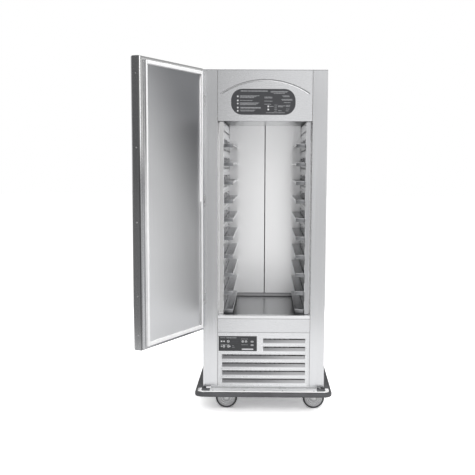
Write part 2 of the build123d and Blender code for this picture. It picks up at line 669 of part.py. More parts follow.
def front_grille():
    half = JAMB_X - PANEL_SEAM
    bottom, top = CABINET_FOOT, SILL_BOTTOM
    panel = block((-half, half), (FRONT, FRONT + PANEL_RETURN), (bottom, top))
    panel -= block((-half + SKIN, half - SKIN), (FRONT + SKIN, FRONT + PANEL_RETURN), (bottom + SKIN, top - SKIN))
    for left, right, slot_top in grille_slots():
        foot = slot_top - SLOT_HEIGHT
        panel -= block((left, right), (FRONT, FRONT + SKIN), (foot, slot_top))
        panel += grille_blade(left - SKIN, right + SKIN, foot)
        for x in (left - SKIN, right):
            panel += block((x, x + SKIN), (FRONT + SKIN, FRONT + SKIN + BLADE_DEPTH), (foot - SKIN, slot_top))
    window_x = (PLATE_X - PLATE_WIDTH / 2 + WINDOW_MARGIN, PLATE_X + PLATE_WIDTH / 2 - WINDOW_MARGIN)
    window_z = (PLATE_Z - PLATE_HEIGHT / 2 + WINDOW_MARGIN, PLATE_Z + PLATE_HEIGHT / 2 - WINDOW_MARGIN)
    return panel - block(window_x, (FRONT, FRONT + SKIN), window_z)


# Controls


def key_outline(kind, grow=0.0):
    """The face of a key, drawn upright, larger all round by grow."""
    if kind == "round":
        return Plane.XZ * Circle(ROUND_KEY_DIAMETER / 2 + grow)
    return Plane.XZ * SlotOverall(OVAL_KEY_WIDTH + 2 * grow, OVAL_KEY_HEIGHT + 2 * grow)


def all_keys():
    """Each key's outline and place on the front."""
    kinds = {
        "round": (ROUND_KEYS, PLATE_X - PLATE_WIDTH / 2),
        "oval": (OVAL_KEYS, PLATE_X + PLATE_WIDTH / 2),
    }
    return {
        name: (kind, (edge_x + x, PLATE_Z + z))
        for kind, (keys, edge_x) in kinds.items()
        for name, (x, z) in keys.items()
    }


def control_plate():
    front = FRONT - PLATE_THICKNESS
    plate = rounded_plate(PLATE_WIDTH, PLATE_HEIGHT, SKIN, PLATE_THICKNESS, PLATE_X, PLATE_Z, front)
    for kind, (x, z) in all_keys().values():
        hole = extrude(key_outline(kind, KEY_CLEARANCE), 2 * PLATE_THICKNESS)
        plate -= Pos(x, FRONT + PLATE_THICKNESS / 2, z) * hole
    return plate - display_window()


def display_window():
    front = FRONT - PLATE_THICKNESS
    return rounded_plate(
        DISPLAY_WIDTH, DISPLAY_HEIGHT, DISPLAY_THICKNESS, DISPLAY_THICKNESS, DISPLAY_X, DISPLAY_Z, front
    )


def control_key(kind, place):
    x, z = place
    front = FRONT - PLATE_THICKNESS - KEY_PROUD
    return Pos(x, front + KEY_LENGTH, z) * extrude(key_outline(kind), KEY_LENGTH)


def control_box():
    x = (PLATE_X - PLATE_WIDTH / 2 + WINDOW_MARGIN, PLATE_X + PLATE_WIDTH / 2 - WINDOW_MARGIN)
    z = (PLATE_Z - PLATE_HEIGHT / 2 + WINDOW_MARGIN, PLATE_Z + PLATE_HEIGHT / 2 - WINDOW_MARGIN)
    front = FRONT + CONTROL_BOX_GAP
    box = block(x, (front, front + CONTROL_BOX_DEPTH), z)
    wall = CONTROL_BOX_WALL
    inside = block(
        (x[0] + wall, x[1] - wall), (front + wall, front + CONTROL_BOX_DEPTH), (z[0] + wall, z[1] - wall)
    )
    return box - inside


def power_inlet():
    x = (INLET_X - INLET_WIDTH / 2, INLET_X + INLET_WIDTH / 2)
    z = (INLET_Z - INLET_HEIGHT / 2, INLET_Z + INLET_HEIGHT / 2)
    flange = block(x, (REAR, REAR + SKIN), z)
    wall = INLET_WALL
    body_x, body_z = (x[0] + wall, x[1] - wall), (z[0] + wall, z[1] - wall)
    body = block(body_x, (REAR - INLET_DEPTH, REAR + INLET_PROUD), body_z)
    socket = block(
        (body_x[0] + wall, body_x[1] - wall),
        (REAR - INLET_DEPTH + wall, REAR + INLET_PROUD),
        (body_z[0] + wall, body_z[1] - wall),
    )
    return flange + body - socket


# Walls of the cold space


def inner_liner():
    front, rear = JAMB_REAR, LINER_REAR + LINER_SHEET
    bottom, top = LINER_FLOOR - LINER_SHEET, LINER_CEILING + LINER_SHEET
    floor = block((-LINER_X, LINER_X), (front, LINER_REAR), (bottom, LINER_FLOOR))
    ceiling = block((-LINER_X, LINER_X), (front, LINER_REAR), (LINER_CEILING, top))
    back = block((-LINER_X, LINER_X), (LINER_REAR, rear), (bottom, top))
    side = block((LINER_X, LINER_X + LINER_SHEET), (front, rear), (bottom, top))
    return group([floor, ceiling, back, side, mirrored(side)])


def cabinet_insulation():
    gap = FOAM_CLEARANCE
    outer_x = HALF_WIDTH - SKIN - gap
    inner_x = LINER_X + LINER_SHEET + gap
    rear_y = LINER_REAR + LINER_SHEET + gap
    front_y = FRONT + PILLAR_RETURN + gap
    bottom, top = LINER_FLOOR - FLOOR_WALL, CABINET_TOP - SKIN - gap
    side = block((inner_x, outer_x), (front_y, REAR - SKIN - gap), (bottom, top))
    rear = block((-inner_x + gap, inner_x - gap), (rear_y, REAR - SKIN - gap), (bottom, top))
    floor = block((-inner_x + gap, inner_x - gap), (front_y, rear_y - gap), (bottom, LINER_FLOOR - LINER_SHEET - gap))
    roof = block((-inner_x + gap, inner_x - gap), (front_y, rear_y - gap), (PLENUM_TOP, top))
    header_y = (front_y, front_y + HEADER_WALL)
    header = block((-inner_x + gap, inner_x - gap), header_y, (LINER_CEILING + LINER_SHEET + gap, PLENUM_TOP - gap))
    tunnel = refrigerant_path(LINE_RADIUS + gap)
    return group([side, mirrored(side), rear - tunnel, floor, roof, header])


def back_wall_panels():
    panel = block(
        (BACK_PANEL_SEAM / 2, SLIDE_X),
        (BACK_PANEL_Y, BACK_PANEL_Y + LINER_SHEET),
        (LINER_FLOOR, LINER_CEILING),
    )
    curb = block((-SLIDE_X, SLIDE_X), (BACK_PANEL_Y - CURB_DEPTH, BACK_PANEL_Y), (LINER_FLOOR, LINER_FLOOR + CURB_HEIGHT))
    return group([panel, mirrored(panel), curb])


def air_duct_panel():
    """The flats of the right duct panel: vented face, two flanges and a return beside the throat."""
    front, rear = FRONT + DUCT_SET_BACK, BACK_PANEL_Y
    height = (LINER_FLOOR, LINER_CEILING - DUCT_HEADROOM)
    face = block((DUCT_X, DUCT_X + DUCT_SHEET), (front, rear), height)
    front_flange = block((DUCT_X + DUCT_SHEET, DUCT_OUTER_X), (front, front + DUCT_SHEET), height)
    rear_flange = block((DUCT_X + DUCT_SHEET, DUCT_OUTER_X), (rear - DUCT_SHEET, rear), height)
    return_depth = (front + DUCT_SHEET, front + DUCT_RETURN)
    throat_return = block((DUCT_OUTER_X - DUCT_SHEET, DUCT_OUTER_X), return_depth, height)
    pitch = (rear - front - 2 * VENT_MARGIN) / VENT_COLUMNS
    for z in slide_heights():
        vent_z = z + (SLIDE_WEB + SLIDE_PITCH - SLIDE_LIP) / 2
        for column in range(VENT_COLUMNS):
            y = front + VENT_MARGIN + (column + 0.5) * pitch
            vent = Plane.YZ * SlotOverall(VENT_LENGTH, VENT_HEIGHT)
            face -= Pos(DUCT_X - DUCT_SHEET, y, vent_z) * extrude(vent, 3 * DUCT_SHEET)
    return [face, front_flange, rear_flange, throat_return]


def tray_slide(z):
    """The flats of one right-hand slide: a web, a ledge towards the middle and a down-turned lip."""
    run = (FRONT + SLIDE_SET_BACK, BACK_PANEL_Y - SLIDE_END_GAP)
    tip = SLIDE_X - SLIDE_LEDGE
    web = block((SLIDE_X, DUCT_X), run, (z - SLIDE_SHEET, z + SLIDE_WEB))
    ledge = block((tip, SLIDE_X), run, (z - SLIDE_SHEET, z))
    lip = block((tip, tip + SLIDE_SHEET), run, (z - SLIDE_LIP, z - SLIDE_SHEET))
    return [web, ledge, lip]


# Door, as it stands closed


def rounded_shell_block(inset, y_sharp, y_round, radius):
    """A block of the door's outline whose edges at y_round are rounded."""
    width = (-DOOR_HALF + inset, DOOR_HALF - inset)
    solid = block(width, sorted((y_sharp, y_round)), (DOOR_BOTTOM + inset, DOOR_TOP - inset))
    faces = solid.faces().sort_by(Axis.Y)
    face = faces[0] if y_round < y_sharp else faces[-1]
    return fillet(face.edges(), radius)


def handle_place():
    return DOOR_HALF - CUP_EDGE_DISTANCE


def cup_block(grow, depth):
    x = handle_place()
    return block(
        (x - CUP_WIDTH / 2 - grow, x + CUP_WIDTH / 2 + grow),
        (DOOR_OUTER_Y, DOOR_OUTER_Y + depth),
        (CUP_Z - CUP_HEIGHT / 2 - grow, CUP_Z + CUP_HEIGHT / 2 + grow),
    )


def door_outer_pan():
    shell = rounded_shell_block(0, DOOR_SPLIT_Y, DOOR_OUTER_Y, DOOR_OUTER_ROUND)
    hollow = rounded_shell_block(
        DOOR_SHEET, DOOR_SPLIT_Y, DOOR_OUTER_Y + DOOR_SHEET, DOOR_OUTER_ROUND - DOOR_SHEET
    )
    return shell - hollow - cup_block(CUP_WALL, DOOR_SHEET)


def door_inner_pan():
    shell = rounded_shell_block(0, DOOR_SPLIT_Y, DOOR_INNER_Y, INNER_PAN_ROUND)
    hollow = rounded_shell_block(DOOR_SHEET, DOOR_SPLIT_Y, DOOR_INNER_Y - DOOR_SHEET, INNER_PAN_ROUND - DOOR_SHEET)
    return shell - hollow


def door_foam():
    inset = DOOR_SHEET + FOAM_CLEARANCE
    outer = rounded_shell_block(inset, DOOR_SPLIT_Y, DOOR_OUTER_Y + inset, DOOR_OUTER_ROUND)
    inner = rounded_shell_block(inset, DOOR_SPLIT_Y, DOOR_INNER_Y - inset, INNER_PAN_ROUND)
    return outer + inner - cup_block(CUP_WALL + FOAM_CLEARANCE, CUP_DEPTH + CUP_WALL + FOAM_CLEARANCE)


def door_gasket():
    half = DOOR_HALF - GASKET_SIDE_INSET
    bottom, top = DOOR_BOTTOM + GASKET_END_INSET, DOOR_TOP - GASKET_END_INSET
    depth = (DOOR_INNER_Y, FRONT - GASKET_SQUEEZE_GAP)
    upright = block((half - GASKET_WIDTH, half), depth, (bottom, top))
    rail_x = (-half + GASKET_WIDTH, half - GASKET_WIDTH)
    lower = block(rail_x, depth, (bottom, bottom + GASKET_WIDTH))
    upper = block(rail_x, depth, (top - GASKET_WIDTH, top))
    front_y = FRONT - GASKET_SQUEEZE_GAP

    def softened(strip, along):
        edges = strip.edges().filter_by(along).filter_by_position(Axis.Y, front_y - 1, front_y + 1)
        return fillet(edges, GASKET_ROUND)

    upright = softened(upright, Axis.Z)
    return group([upright, mirrored(upright), softened(lower, Axis.X), softened(upper, Axis.X)])


def door_handle_cup():
    cup = cup_block(CUP_WALL, CUP_DEPTH + CUP_WALL) - cup_block(0, CUP_DEPTH)
    x = handle_place()
    rim = rounded_plate(
        CUP_WIDTH + 2 * CUP_RIM,
        CUP_HEIGHT + 2 * CUP_RIM,
        CUP_CORNER,
        CUP_RIM_THICKNESS,
        x,
        CUP_Z,
        DOOR_OUTER_Y - CUP_RIM_THICKNESS,
    )
    mouth = Pos(0, -CUP_RIM_THICKNESS, 0) * cup_block(0, 2 * CUP_RIM_THICKNESS)
    return cup + rim - mouth


# Hinges


def hinge_bore(z, height):
    return rod((HINGE_X, HINGE_Y, z), HINGE_PIN_RADIUS + HINGE_PIN_CLEARANCE, height)


def hinge_cabinet_leaf(centre_z):
    """A plate on the pillar with two arms that reach forward to the knuckles."""
    low, high = centre_z - HINGE_HALF_HEIGHT, centre_z + HINGE_HALF_HEIGHT
    arm_x = HINGE_X - HINGE_ARM_WIDTH / 2
    leaf = block((arm_x, arm_x + HINGE_LEAF_REACH), (FRONT - HINGE_LEAF_SHEET, FRONT), (low, high))
    for z in (low, high - HINGE_ARM_HEIGHT):
        arm_z = (z, z + HINGE_ARM_HEIGHT)
        leaf += block((arm_x, arm_x + HINGE_ARM_WIDTH), (HINGE_Y, FRONT), arm_z)
        leaf += rod((HINGE_X, HINGE_Y, z + HINGE_ARM_HEIGHT / 2), HINGE_KNUCKLE_RADIUS, HINGE_ARM_HEIGHT)
    return leaf - hinge_bore(centre_z, 2 * HINGE_HALF_HEIGHT)


def hinge_door_leaf(centre_z):
    """A plate on the door's edge with one knuckle between the cabinet leaf's arms."""
    span = (centre_z - HINGE_DOOR_KNUCKLE / 2, centre_z + HINGE_DOOR_KNUCKLE / 2)
    plate_x = (-DOOR_HALF - HINGE_DOOR_LEAF_SHEET, -DOOR_HALF)
    middle_y = (DOOR_OUTER_Y + DOOR_OUTER_ROUND + DOOR_SPLIT_Y) / 2
    plate_y = (middle_y - HINGE_DOOR_LEAF_WIDTH / 2, middle_y + HINGE_DOOR_LEAF_WIDTH / 2)
    plate = block(plate_x, plate_y, span)
    web = block((HINGE_X, plate_x[1]), (HINGE_Y - HINGE_ARM_WIDTH / 2, HINGE_Y + HINGE_ARM_WIDTH / 2), span)
    knuckle = rod((HINGE_X, HINGE_Y, centre_z), HINGE_KNUCKLE_RADIUS, HINGE_DOOR_KNUCKLE)
    return plate + web + knuckle - hinge_bore(centre_z, HINGE_DOOR_KNUCKLE)


def hinge_pin(centre_z):
    """A headed pin, held in the cabinet leaf."""
    length = 2 * HINGE_HALF_HEIGHT
    shaft = rod((HINGE_X, HINGE_Y, centre_z), HINGE_PIN_RADIUS, length)
    head_z = centre_z + HINGE_HALF_HEIGHT + HINGE_PIN_HEAD_HEIGHT / 2
    return shaft + rod((HINGE_X, HINGE_Y, head_z), HINGE_PIN_HEAD_RADIUS, HINGE_PIN_HEAD_HEIGHT)


def swung_open(shape):
    """The closed door's shape, turned about the hinge axis to where it stands."""
    return Pos(HINGE_X, HINGE_Y, 0) * Rot(0, 0, -OPEN_ANGLE) * Pos(-HINGE_X, -HINGE_Y, 0) * shape


# Refrigeration


def finned_block(x, y, z, slots, across):
    """A coil block with narrow slots between groups of fins; across is the axis of its row of fins."""
    coil = block(x, y, z)
    low, high = x if across == "X" else y
    pitch = (high - low) / (slots + 1)
    slot_z = (z[0] + COIL_BAND, z[1] - COIL_BAND)
    for i in range(1, slots + 1):
        centre = low + i * pitch
        span = (centre - COIL_SLOT_WIDTH / 2, centre + COIL_SLOT_WIDTH / 2)
        coil -= block(span, y, slot_z) if across == "X" else block(x, span, slot_z)
    return coil


def evaporator_coil():
    return finned_block(
        (COIL_X - COIL_LENGTH / 2, COIL_X + COIL_LENGTH / 2),
        (-COIL_DEPTH / 2, COIL_DEPTH / 2),
        (COIL_BOTTOM, COIL_BOTTOM + COIL_HEIGHT),
        COIL_FIN_SLOTS,
        "Y",
    )


def evaporator_fan_centre():
    return (EVAPORATOR_FAN_X, 0, COIL_BOTTOM + COIL_HEIGHT / 2)


def condenser_coil():
    front = FRONT + CONDENSER_SET_BACK
    return finned_block(
        (CONDENSER_FAN_X - CONDENSER_WIDTH / 2, CONDENSER_FAN_X + CONDENSER_WIDTH / 2),
        (front, front + CONDENSER_DEPTH),
        (PAN_TOP, PAN_TOP + CONDENSER_HEIGHT),
        CONDENSER_FIN_SLOTS,
        "X",
    )


def condenser_fan_centre():
    y = FRONT + CONDENSER_SET_BACK + CONDENSER_DEPTH + SHROUD_DEPTH - FAN_HUB_LENGTH
    return (CONDENSER_FAN_X, y, PAN_TOP + CONDENSER_HEIGHT / 2)


def fan_blades(centre, radius, axis):
    """A hub with pitched blades, turning about X or Y."""
    fan = Cylinder(FAN_HUB_RADIUS, FAN_HUB_LENGTH)
    reach = radius - FAN_HUB_RADIUS / 2
    for i in range(FAN_BLADES):
        blade = Pos(FAN_HUB_RADIUS / 2 + reach / 2, 0, 0) * Rot(FAN_BLADE_PITCH, 0, 0) * Box(
            reach, FAN_HUB_RADIUS, FAN_BLADE_SHEET
        )
        fan += Rot(0, 0, i * 360 / FAN_BLADES) * blade
    fan &= Cylinder(radius, 3 * FAN_HUB_LENGTH)
    turn = Rot(0, 90, 0) if axis == "X" else Rot(90, 0, 0)
    return Pos(*centre) * turn * fan


def fan_motor(centre, axis, direction):
    """The motor's body on the side of the fan that direction points to."""
    shift = direction * (FAN_HUB_LENGTH / 2 + MOTOR_GAP + MOTOR_LENGTH / 2)
    x, y, z = centre
    place = (x + shift, y, z) if axis == "X" else (x, y + shift, z)
    return rod(place, MOTOR_RADIUS, MOTOR_LENGTH, axis)


def evaporator_fan_motor():
    centre = evaporator_fan_centre()
    motor = fan_motor(centre, "X", 1)
    x = centre[0] + (FAN_HUB_LENGTH + MOTOR_LENGTH) / 2 + MOTOR_GAP
    stand_x = (x - MOTOR_STAND / 2, x + MOTOR_STAND / 2)
    stand = block(stand_x, (-MOTOR_RADIUS, MOTOR_RADIUS), (LINER_CEILING + LINER_SHEET, centre[2]))
    return motor + stand


def condenser_fan_shroud():
    centre = condenser_fan_centre()
    front = FRONT + CONDENSER_SET_BACK + CONDENSER_DEPTH
    half = CONDENSER_WIDTH / 2
    x = (centre[0] - half, centre[0] + half)
    z = (PAN_TOP, PAN_TOP + CONDENSER_HEIGHT)
    shroud = block(x, (front, front + SHROUD_DEPTH), z)
    shroud -= block(
        (x[0] + SHROUD_SHEET, x[1] - SHROUD_SHEET),
        (front, front + SHROUD_DEPTH - SHROUD_SHEET),
        (z[0] + SHROUD_SHEET, z[1] - SHROUD_SHEET),
    )
    mouth_y = front + SHROUD_DEPTH
    shroud -= rod((centre[0], mouth_y, centre[2]), CONDENSER_FAN_RADIUS + FAN_TIP_GAP, SHROUD_DEPTH, "Y")
    motor = fan_motor(centre, "Y", 1)
    arm_reach = CONDENSER_FAN_RADIUS + FAN_TIP_GAP + MOTOR_ARM
    arm = block(
        (centre[0] - arm_reach, centre[0] + arm_reach),
        (mouth_y, mouth_y + MOTOR_ARM),
        (centre[2] - MOTOR_ARM / 2, centre[2] + MOTOR_ARM / 2),
    )
    return shroud + motor + arm


def compressor():
    bottom = PAN_TOP + COMPRESSOR_FOOT
    shell = rod(
        (COMPRESSOR_X, COMPRESSOR_Y, bottom + COMPRESSOR_HEIGHT / 2), COMPRESSOR_RADIUS, COMPRESSOR_HEIGHT
    )
    shell = fillet(shell.edges().filter_by(GeomType.CIRCLE), COMPRESSOR_ROUND)
    foot = block(
        (COMPRESSOR_X - COMPRESSOR_RADIUS, COMPRESSOR_X + COMPRESSOR_RADIUS),
        (COMPRESSOR_Y - COMPRESSOR_RADIUS, COMPRESSOR_Y + COMPRESSOR_RADIUS),
        (PAN_TOP, bottom + COMPRESSOR_ROUND),
    )
    return shell + foot


def refrigerant_path(radius):
    """The suction line: from the compressor's top, back and up inside the rear wall, to the coil."""
    riser_y = LINER_REAR + REAR_WALL / 2
    start_z = PAN_TOP + COMPRESSOR_FOOT + COMPRESSOR_HEIGHT
    turn_z = start_z + 2 * LINE_BEND
    coil_x = COIL_X + COIL_LENGTH / 2 - 2 * LINE_RADIUS
    points = [
        (COMPRESSOR_X, COMPRESSOR_Y, start_z),
        (COMPRESSOR_X, COMPRESSOR_Y, turn_z),
        (RISER_X, riser_y, turn_z),
        (RISER_X, riser_y, RISER_Z),
        (coil_x, COIL_DEPTH / 2 + 2 * LINE_BEND, RISER_Z),
        (coil_x, COIL_DEPTH / 2, RISER_Z),
    ]
    path = FilletPolyline(*points, radius=LINE_BEND)
    section = Plane(origin=path @ 0, z_dir=path % 0) * Circle(radius)
    return sweep(section, path=path)


def liquid_line():
    """The line from the condenser's end to the compressor's side."""
    x = CONDENSER_FAN_X + CONDENSER_WIDTH / 2
    y = FRONT + CONDENSER_SET_BACK + CONDENSER_DEPTH / 2
    z = PAN_TOP + COMPRESSOR_FOOT + COMPRESSOR_HEIGHT / 2
    points = [
        (x, y, z),
        (COMPRESSOR_X, y, z),
        (COMPRESSOR_X, COMPRESSOR_Y - COMPRESSOR_RADIUS, z),
    ]
    path = FilletPolyline(*points, radius=LINE_BEND / 2)
    section = Plane(origin=path @ 0, z_dir=path % 0) * Circle(LINE_RADIUS)
    return sweep(section, path=path)


# Casters, each built about its swivel axis with the wheel trailing along +X and the axle along Y


def wheel_core(trail):
    radius = WHEEL_RADIUS - TYRE_THICKNESS
    centre = (trail, 0, WHEEL_RADIUS)
    core = rod(centre, radius, WHEEL_WIDTH - 2 * CORE_INSET, "Y")
    for side in SIDES.values():
        face = (trail, side * WHEEL_WIDTH / 2, WHEEL_RADIUS)
        recess = rod(face, radius - HUB_RIM, 2 * HUB_RECESS, "Y") - rod(face, HUB_BOSS_RADIUS, 2 * HUB_RECESS, "Y")
        core -= recess
    return core - rod(centre, AXLE_RADIUS + AXLE_CLEARANCE, WHEEL_WIDTH, "Y")


def wheel_tyre(trail):
    centre = (trail, 0, WHEEL_RADIUS)
    tyre = rod(centre, WHEEL_RADIUS, WHEEL_WIDTH, "Y")
    tyre = fillet(tyre.edges().filter_by(GeomType.CIRCLE), TYRE_ROUND)
    return tyre - rod(centre, WHEEL_RADIUS - TYRE_THICKNESS, 2 * WHEEL_WIDTH, "Y")


def fork_leg(trail, top, lug):
    """One leg on the +Y side, with an ear for the brake's pivot where lug is true."""
    half_top, half_foot = RACE_RADIUS, 2 * AXLE_RADIUS
    rear_top = BRAKE_PIVOT_X if lug else trail + half_top
    outline = Polyline(
        (trail - half_top if not lug else -AXLE_RADIUS, top),
        (rear_top, top),
        (rear_top, top - 2 * BRAKE_LUG_RADIUS),
        (trail + half_foot, WHEEL_RADIUS),
        (trail - half_foot, WHEEL_RADIUS),
        close=True,
    )
    leg = extrude(Plane.XZ * make_face(outline), -FORK_SHEET)
    leg = Pos(0, FORK_INNER, 0) * leg
    leg += rod((trail, FORK_INNER + FORK_SHEET / 2, WHEEL_RADIUS), half_foot, FORK_SHEET, "Y")
    if lug:
        leg += rod((BRAKE_PIVOT_X, FORK_INNER + FORK_SHEET / 2, BRAKE_PIVOT_Z), BRAKE_LUG_RADIUS, FORK_SHEET, "Y")
    return leg


def axle_bolt(trail):
    centre = (trail, 0, WHEEL_RADIUS)
    bolt = rod(centre, AXLE_RADIUS, 2 * FORK_OUTER, "Y")
    for side in SIDES.values():
        y = side * (FORK_OUTER + AXLE_HEAD_LENGTH / 2)
        head = extrude(Plane.XZ * RegularPolygon(AXLE_HEAD_RADIUS, 6), AXLE_HEAD_LENGTH)
        bolt += Pos(trail, y + AXLE_HEAD_LENGTH / 2, WHEEL_RADIUS) * head
    return bolt


def both_legs(trail, top, lug):
    leg = fork_leg(trail, top, lug)
    legs = leg + mirror(leg, about=Plane.XZ)
    return legs - rod((trail, 0, WHEEL_RADIUS), AXLE_RADIUS + AXLE_CLEARANCE, 3 * FORK_OUTER, "Y")


def swivel_fork():
    crown_top = CROWN_BOTTOM + CROWN_SHEET
    fork = both_legs(SWIVEL_TRAIL, crown_top, True)
    fork += block((-AXLE_RADIUS, BRAKE_PIVOT_X - BRAKE_LUG_RADIUS), (-FORK_OUTER, FORK_OUTER), (CROWN_BOTTOM, crown_top))
    fork += rod((0, 0, (CROWN_BOTTOM + RACE_TOP - RACE_GAP) / 2), RACE_RADIUS, RACE_TOP - RACE_GAP - CROWN_BOTTOM)
    fork -= rod((0, 0, CROWN_BOTTOM), KINGPIN_RADIUS + KINGPIN_CLEARANCE, 2 * CASTER_HEIGHT)
    pivot = (BRAKE_PIVOT_X, 0, BRAKE_PIVOT_Z)
    fork -= rod(pivot, BRAKE_PIVOT_RADIUS + BRAKE_PIVOT_CLEARANCE, 3 * FORK_OUTER, "Y")
    return group([fork, axle_bolt(SWIVEL_TRAIL)])


def rigid_fork():
    fork = both_legs(0, CASTER_HEIGHT - CASTER_PLATE, False)
    bridge_top = CASTER_HEIGHT - CASTER_PLATE
    fork += block((-RACE_RADIUS, RACE_RADIUS), (-FORK_OUTER, FORK_OUTER), (bridge_top - CROWN_SHEET, bridge_top))
    return group([fork, axle_bolt(0)])


def foot_brake():
    """A pedal hinged between the fork's ears, over the trailing side of the wheel."""
    half = FORK_INNER - BRAKE_SIDE_GAP
    top = [(BRAKE_PIVOT_X, BRAKE_PIVOT_Z + BRAKE_SHEET / 2)]
    end_x, end_z = BRAKE_PIVOT_X + BRAKE_REACH, BRAKE_PIVOT_Z - BRAKE_FALL
    outline = Polyline(
        top[0],
        (end_x - BRAKE_TREAD, end_z + BRAKE_SHEET),
        (end_x, end_z + BRAKE_SHEET),
        (end_x, end_z),
        (end_x - BRAKE_TREAD - BRAKE_SHEET / 2, end_z),
        (BRAKE_PIVOT_X, BRAKE_PIVOT_Z - BRAKE_SHEET),
        close=True,
    )
    pedal = Pos(0, half, 0) * extrude(Plane.XZ * make_face(outline), 2 * half)
    pedal += rod((BRAKE_PIVOT_X, 0, BRAKE_PIVOT_Z), BRAKE_BARREL_RADIUS, 2 * half, "Y")
    return pedal + rod((BRAKE_PIVOT_X, 0, BRAKE_PIVOT_Z), BRAKE_PIVOT_RADIUS, 2 * FORK_OUTER, "Y")


def mounting_plate(swivel):
    plate = block(
        (-CASTER_PLATE_LENGTH / 2, CASTER_PLATE_LENGTH / 2),
        (-CASTER_PLATE_WIDTH / 2, CASTER_PLATE_WIDTH / 2),
        (CASTER_HEIGHT - CASTER_PLATE, CASTER_HEIGHT),
    )
    plate = fillet(plate.edges().filter_by(Axis.Z), CASTER_BOLT_RADIUS)
    if swivel:
        plate_bottom = CASTER_HEIGHT - CASTER_PLATE
        plate += rod((0, 0, (plate_bottom + RACE_TOP) / 2), RACE_RADIUS, plate_bottom - RACE_TOP)
        pin_bottom = CROWN_BOTTOM - KINGPIN_HEAD_GAP
        plate += rod((0, 0, (RACE_TOP + pin_bottom) / 2), KINGPIN_RADIUS, RACE_TOP - pin_bottom)
        plate += rod((0, 0, pin_bottom - KINGPIN_HEAD / 2), KINGPIN_HEAD_RADIUS, KINGPIN_HEAD)
    bolts = []
    for x in (-CASTER_BOLT_SPACING_X / 2, CASTER_BOLT_SPACING_X / 2):
        for y in (-CASTER_BOLT_SPACING_Y / 2, CASTER_BOLT_SPACING_Y / 2):
            head_z = CASTER_HEIGHT - CASTER_PLATE - CASTER_BOLT_HEAD
            bolts.append(Pos(x, y, head_z) * extrude(RegularPolygon(CASTER_BOLT_RADIUS, 6), CASTER_BOLT_HEAD))
    return [plate] + bolts


def caster_places():
    """Where each caster stands, as a placement of its own axes."""
    front = {f"front_{side}": Pos(sign * SWIVEL_X, FRONT_SWIVEL_Y, 0) for side, sign in SIDES.items()}
    rear = {f"rear_{side}": Pos(sign * SWIVEL_X, REAR_AXLE_Y, 0) * Rot(0, 0, 90) for side, sign in SIDES.items()}
    return front, rear


def caster_nodes():
    front, rear = caster_places()
    nodes, plates = {}, []
    for name, place in front.items():
        nodes[f"{name}_caster_fork"] = place * swivel_fork()
        nodes[f"{name}_caster_brake"] = place * foot_brake()
        nodes[f"{name}_caster_wheel"] = place * wheel_core(SWIVEL_TRAIL)
        nodes[f"{name}_caster_tyre"] = place * wheel_tyre(SWIVEL_TRAIL)
        plates += [place * solid for solid in mounting_plate(True)]
    for name, place in rear.items():
        nodes[f"{name}_caster_fork"] = place * rigid_fork()
        nodes[f"{name}_caster_wheel"] = place * wheel_core(0)
        nodes[f"{name}_caster_tyre"] = place * wheel_tyre(0)
        plates += [place * solid for solid in mounting_plate(False)]
    nodes["caster_mounting_plates"] = group(plates)
    return nodes


def fixed_nodes():
    slides = [flat for z in slide_heights() for flat in tray_slide(z)]
    return {
        "base_chassis": base_chassis(),
        "front_deck_plate": front_deck_plate(),
        "bumper_rail": bumper_rail(),
        "bumper_rubber": bumper_rubber(),
        "left_side_panel": mirrored(side_panel()),
        "right_side_panel": side_panel(),
        "rear_panel": rear_panel(),
        "top_panel": top_panel(),
        "front_pillars": pair(front_pillar()),
        "header_panel": header_panel(),
        "operation_label": operation_label(),
        "sill_panel": sill_panel(),
        "threshold_strip": threshold_strip(),
        "front_grille": front_grille(),
        "control_plate": control_plate(),
        "display_window": display_window(),
        "control_box": control_box(),
        "power_inlet": power_inlet(),
        "inner_liner": inner_liner(),
        "cabinet_insulation": cabinet_insulation(),
        "back_wall_panels": back_wall_panels(),
        "air_duct_panels": group(air_duct_panel() + [mirrored(flat) for flat in air_duct_panel()]),
        "left_tray_slides": group([mirrored(flat) for flat in slides]),
        "right_tray_slides": group(slides),
        "evaporator_coil": evaporator_coil(),
        "evaporator_fan_motor": evaporator_fan_motor(),
        "compressor": compressor(),
        "condenser_coil": condenser_coil(),
        "condenser_fan_shroud": condenser_fan_shroud(),
        "refrigerant_lines": group([refrigerant_path(LINE_RADIUS), liquid_line()]),
        "hinge_cabinet_leaves": group([hinge_cabinet_leaf(z) for z in HINGE_CENTRES_Z]),
        "hinge_pins": group([hinge_pin(z) for z in HINGE_CENTRES_Z]),
    }


def moving_nodes():
    nodes = {name: control_key(kind, place) for name, (kind, place) in all_keys().items()}
    nodes["evaporator_fan_blade"] = fan_blades(evaporator_fan_centre(), EVAPORATOR_FAN_RADIUS, "X")
    nodes["condenser_fan_blade"] = fan_blades(condenser_fan_centre(), CONDENSER_FAN_RADIUS, "Y")
    door = {
        "door_outer_pan": door_outer_pan(),
        "door_inner_pan": door_inner_pan(),
        "door_foam": door_foam(),
        "door_gasket": door_gasket(),
        "door_handle_cup": door_handle_cup(),
        "hinge_door_leaves": group([hinge_door_leaf(z) for z in HINGE_CENTRES_Z]),
    }
    nodes.update({name: swung_open(shape) for name, shape in door.items()})
    return nodes


os.makedirs("parts", exist_ok=True)
for node, shape in {**fixed_nodes(), **moving_nodes(), **caster_nodes()}.items():
    export_step(shape, f"parts/{node}.step")
print("opening between jambs", 2 * JAMB_X, "door width", 2 * DOOR_HALF)
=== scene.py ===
import json
from math import cos, pi, radians, sin, tau

import bmesh
import bpy
from mathutils import Matrix, Vector


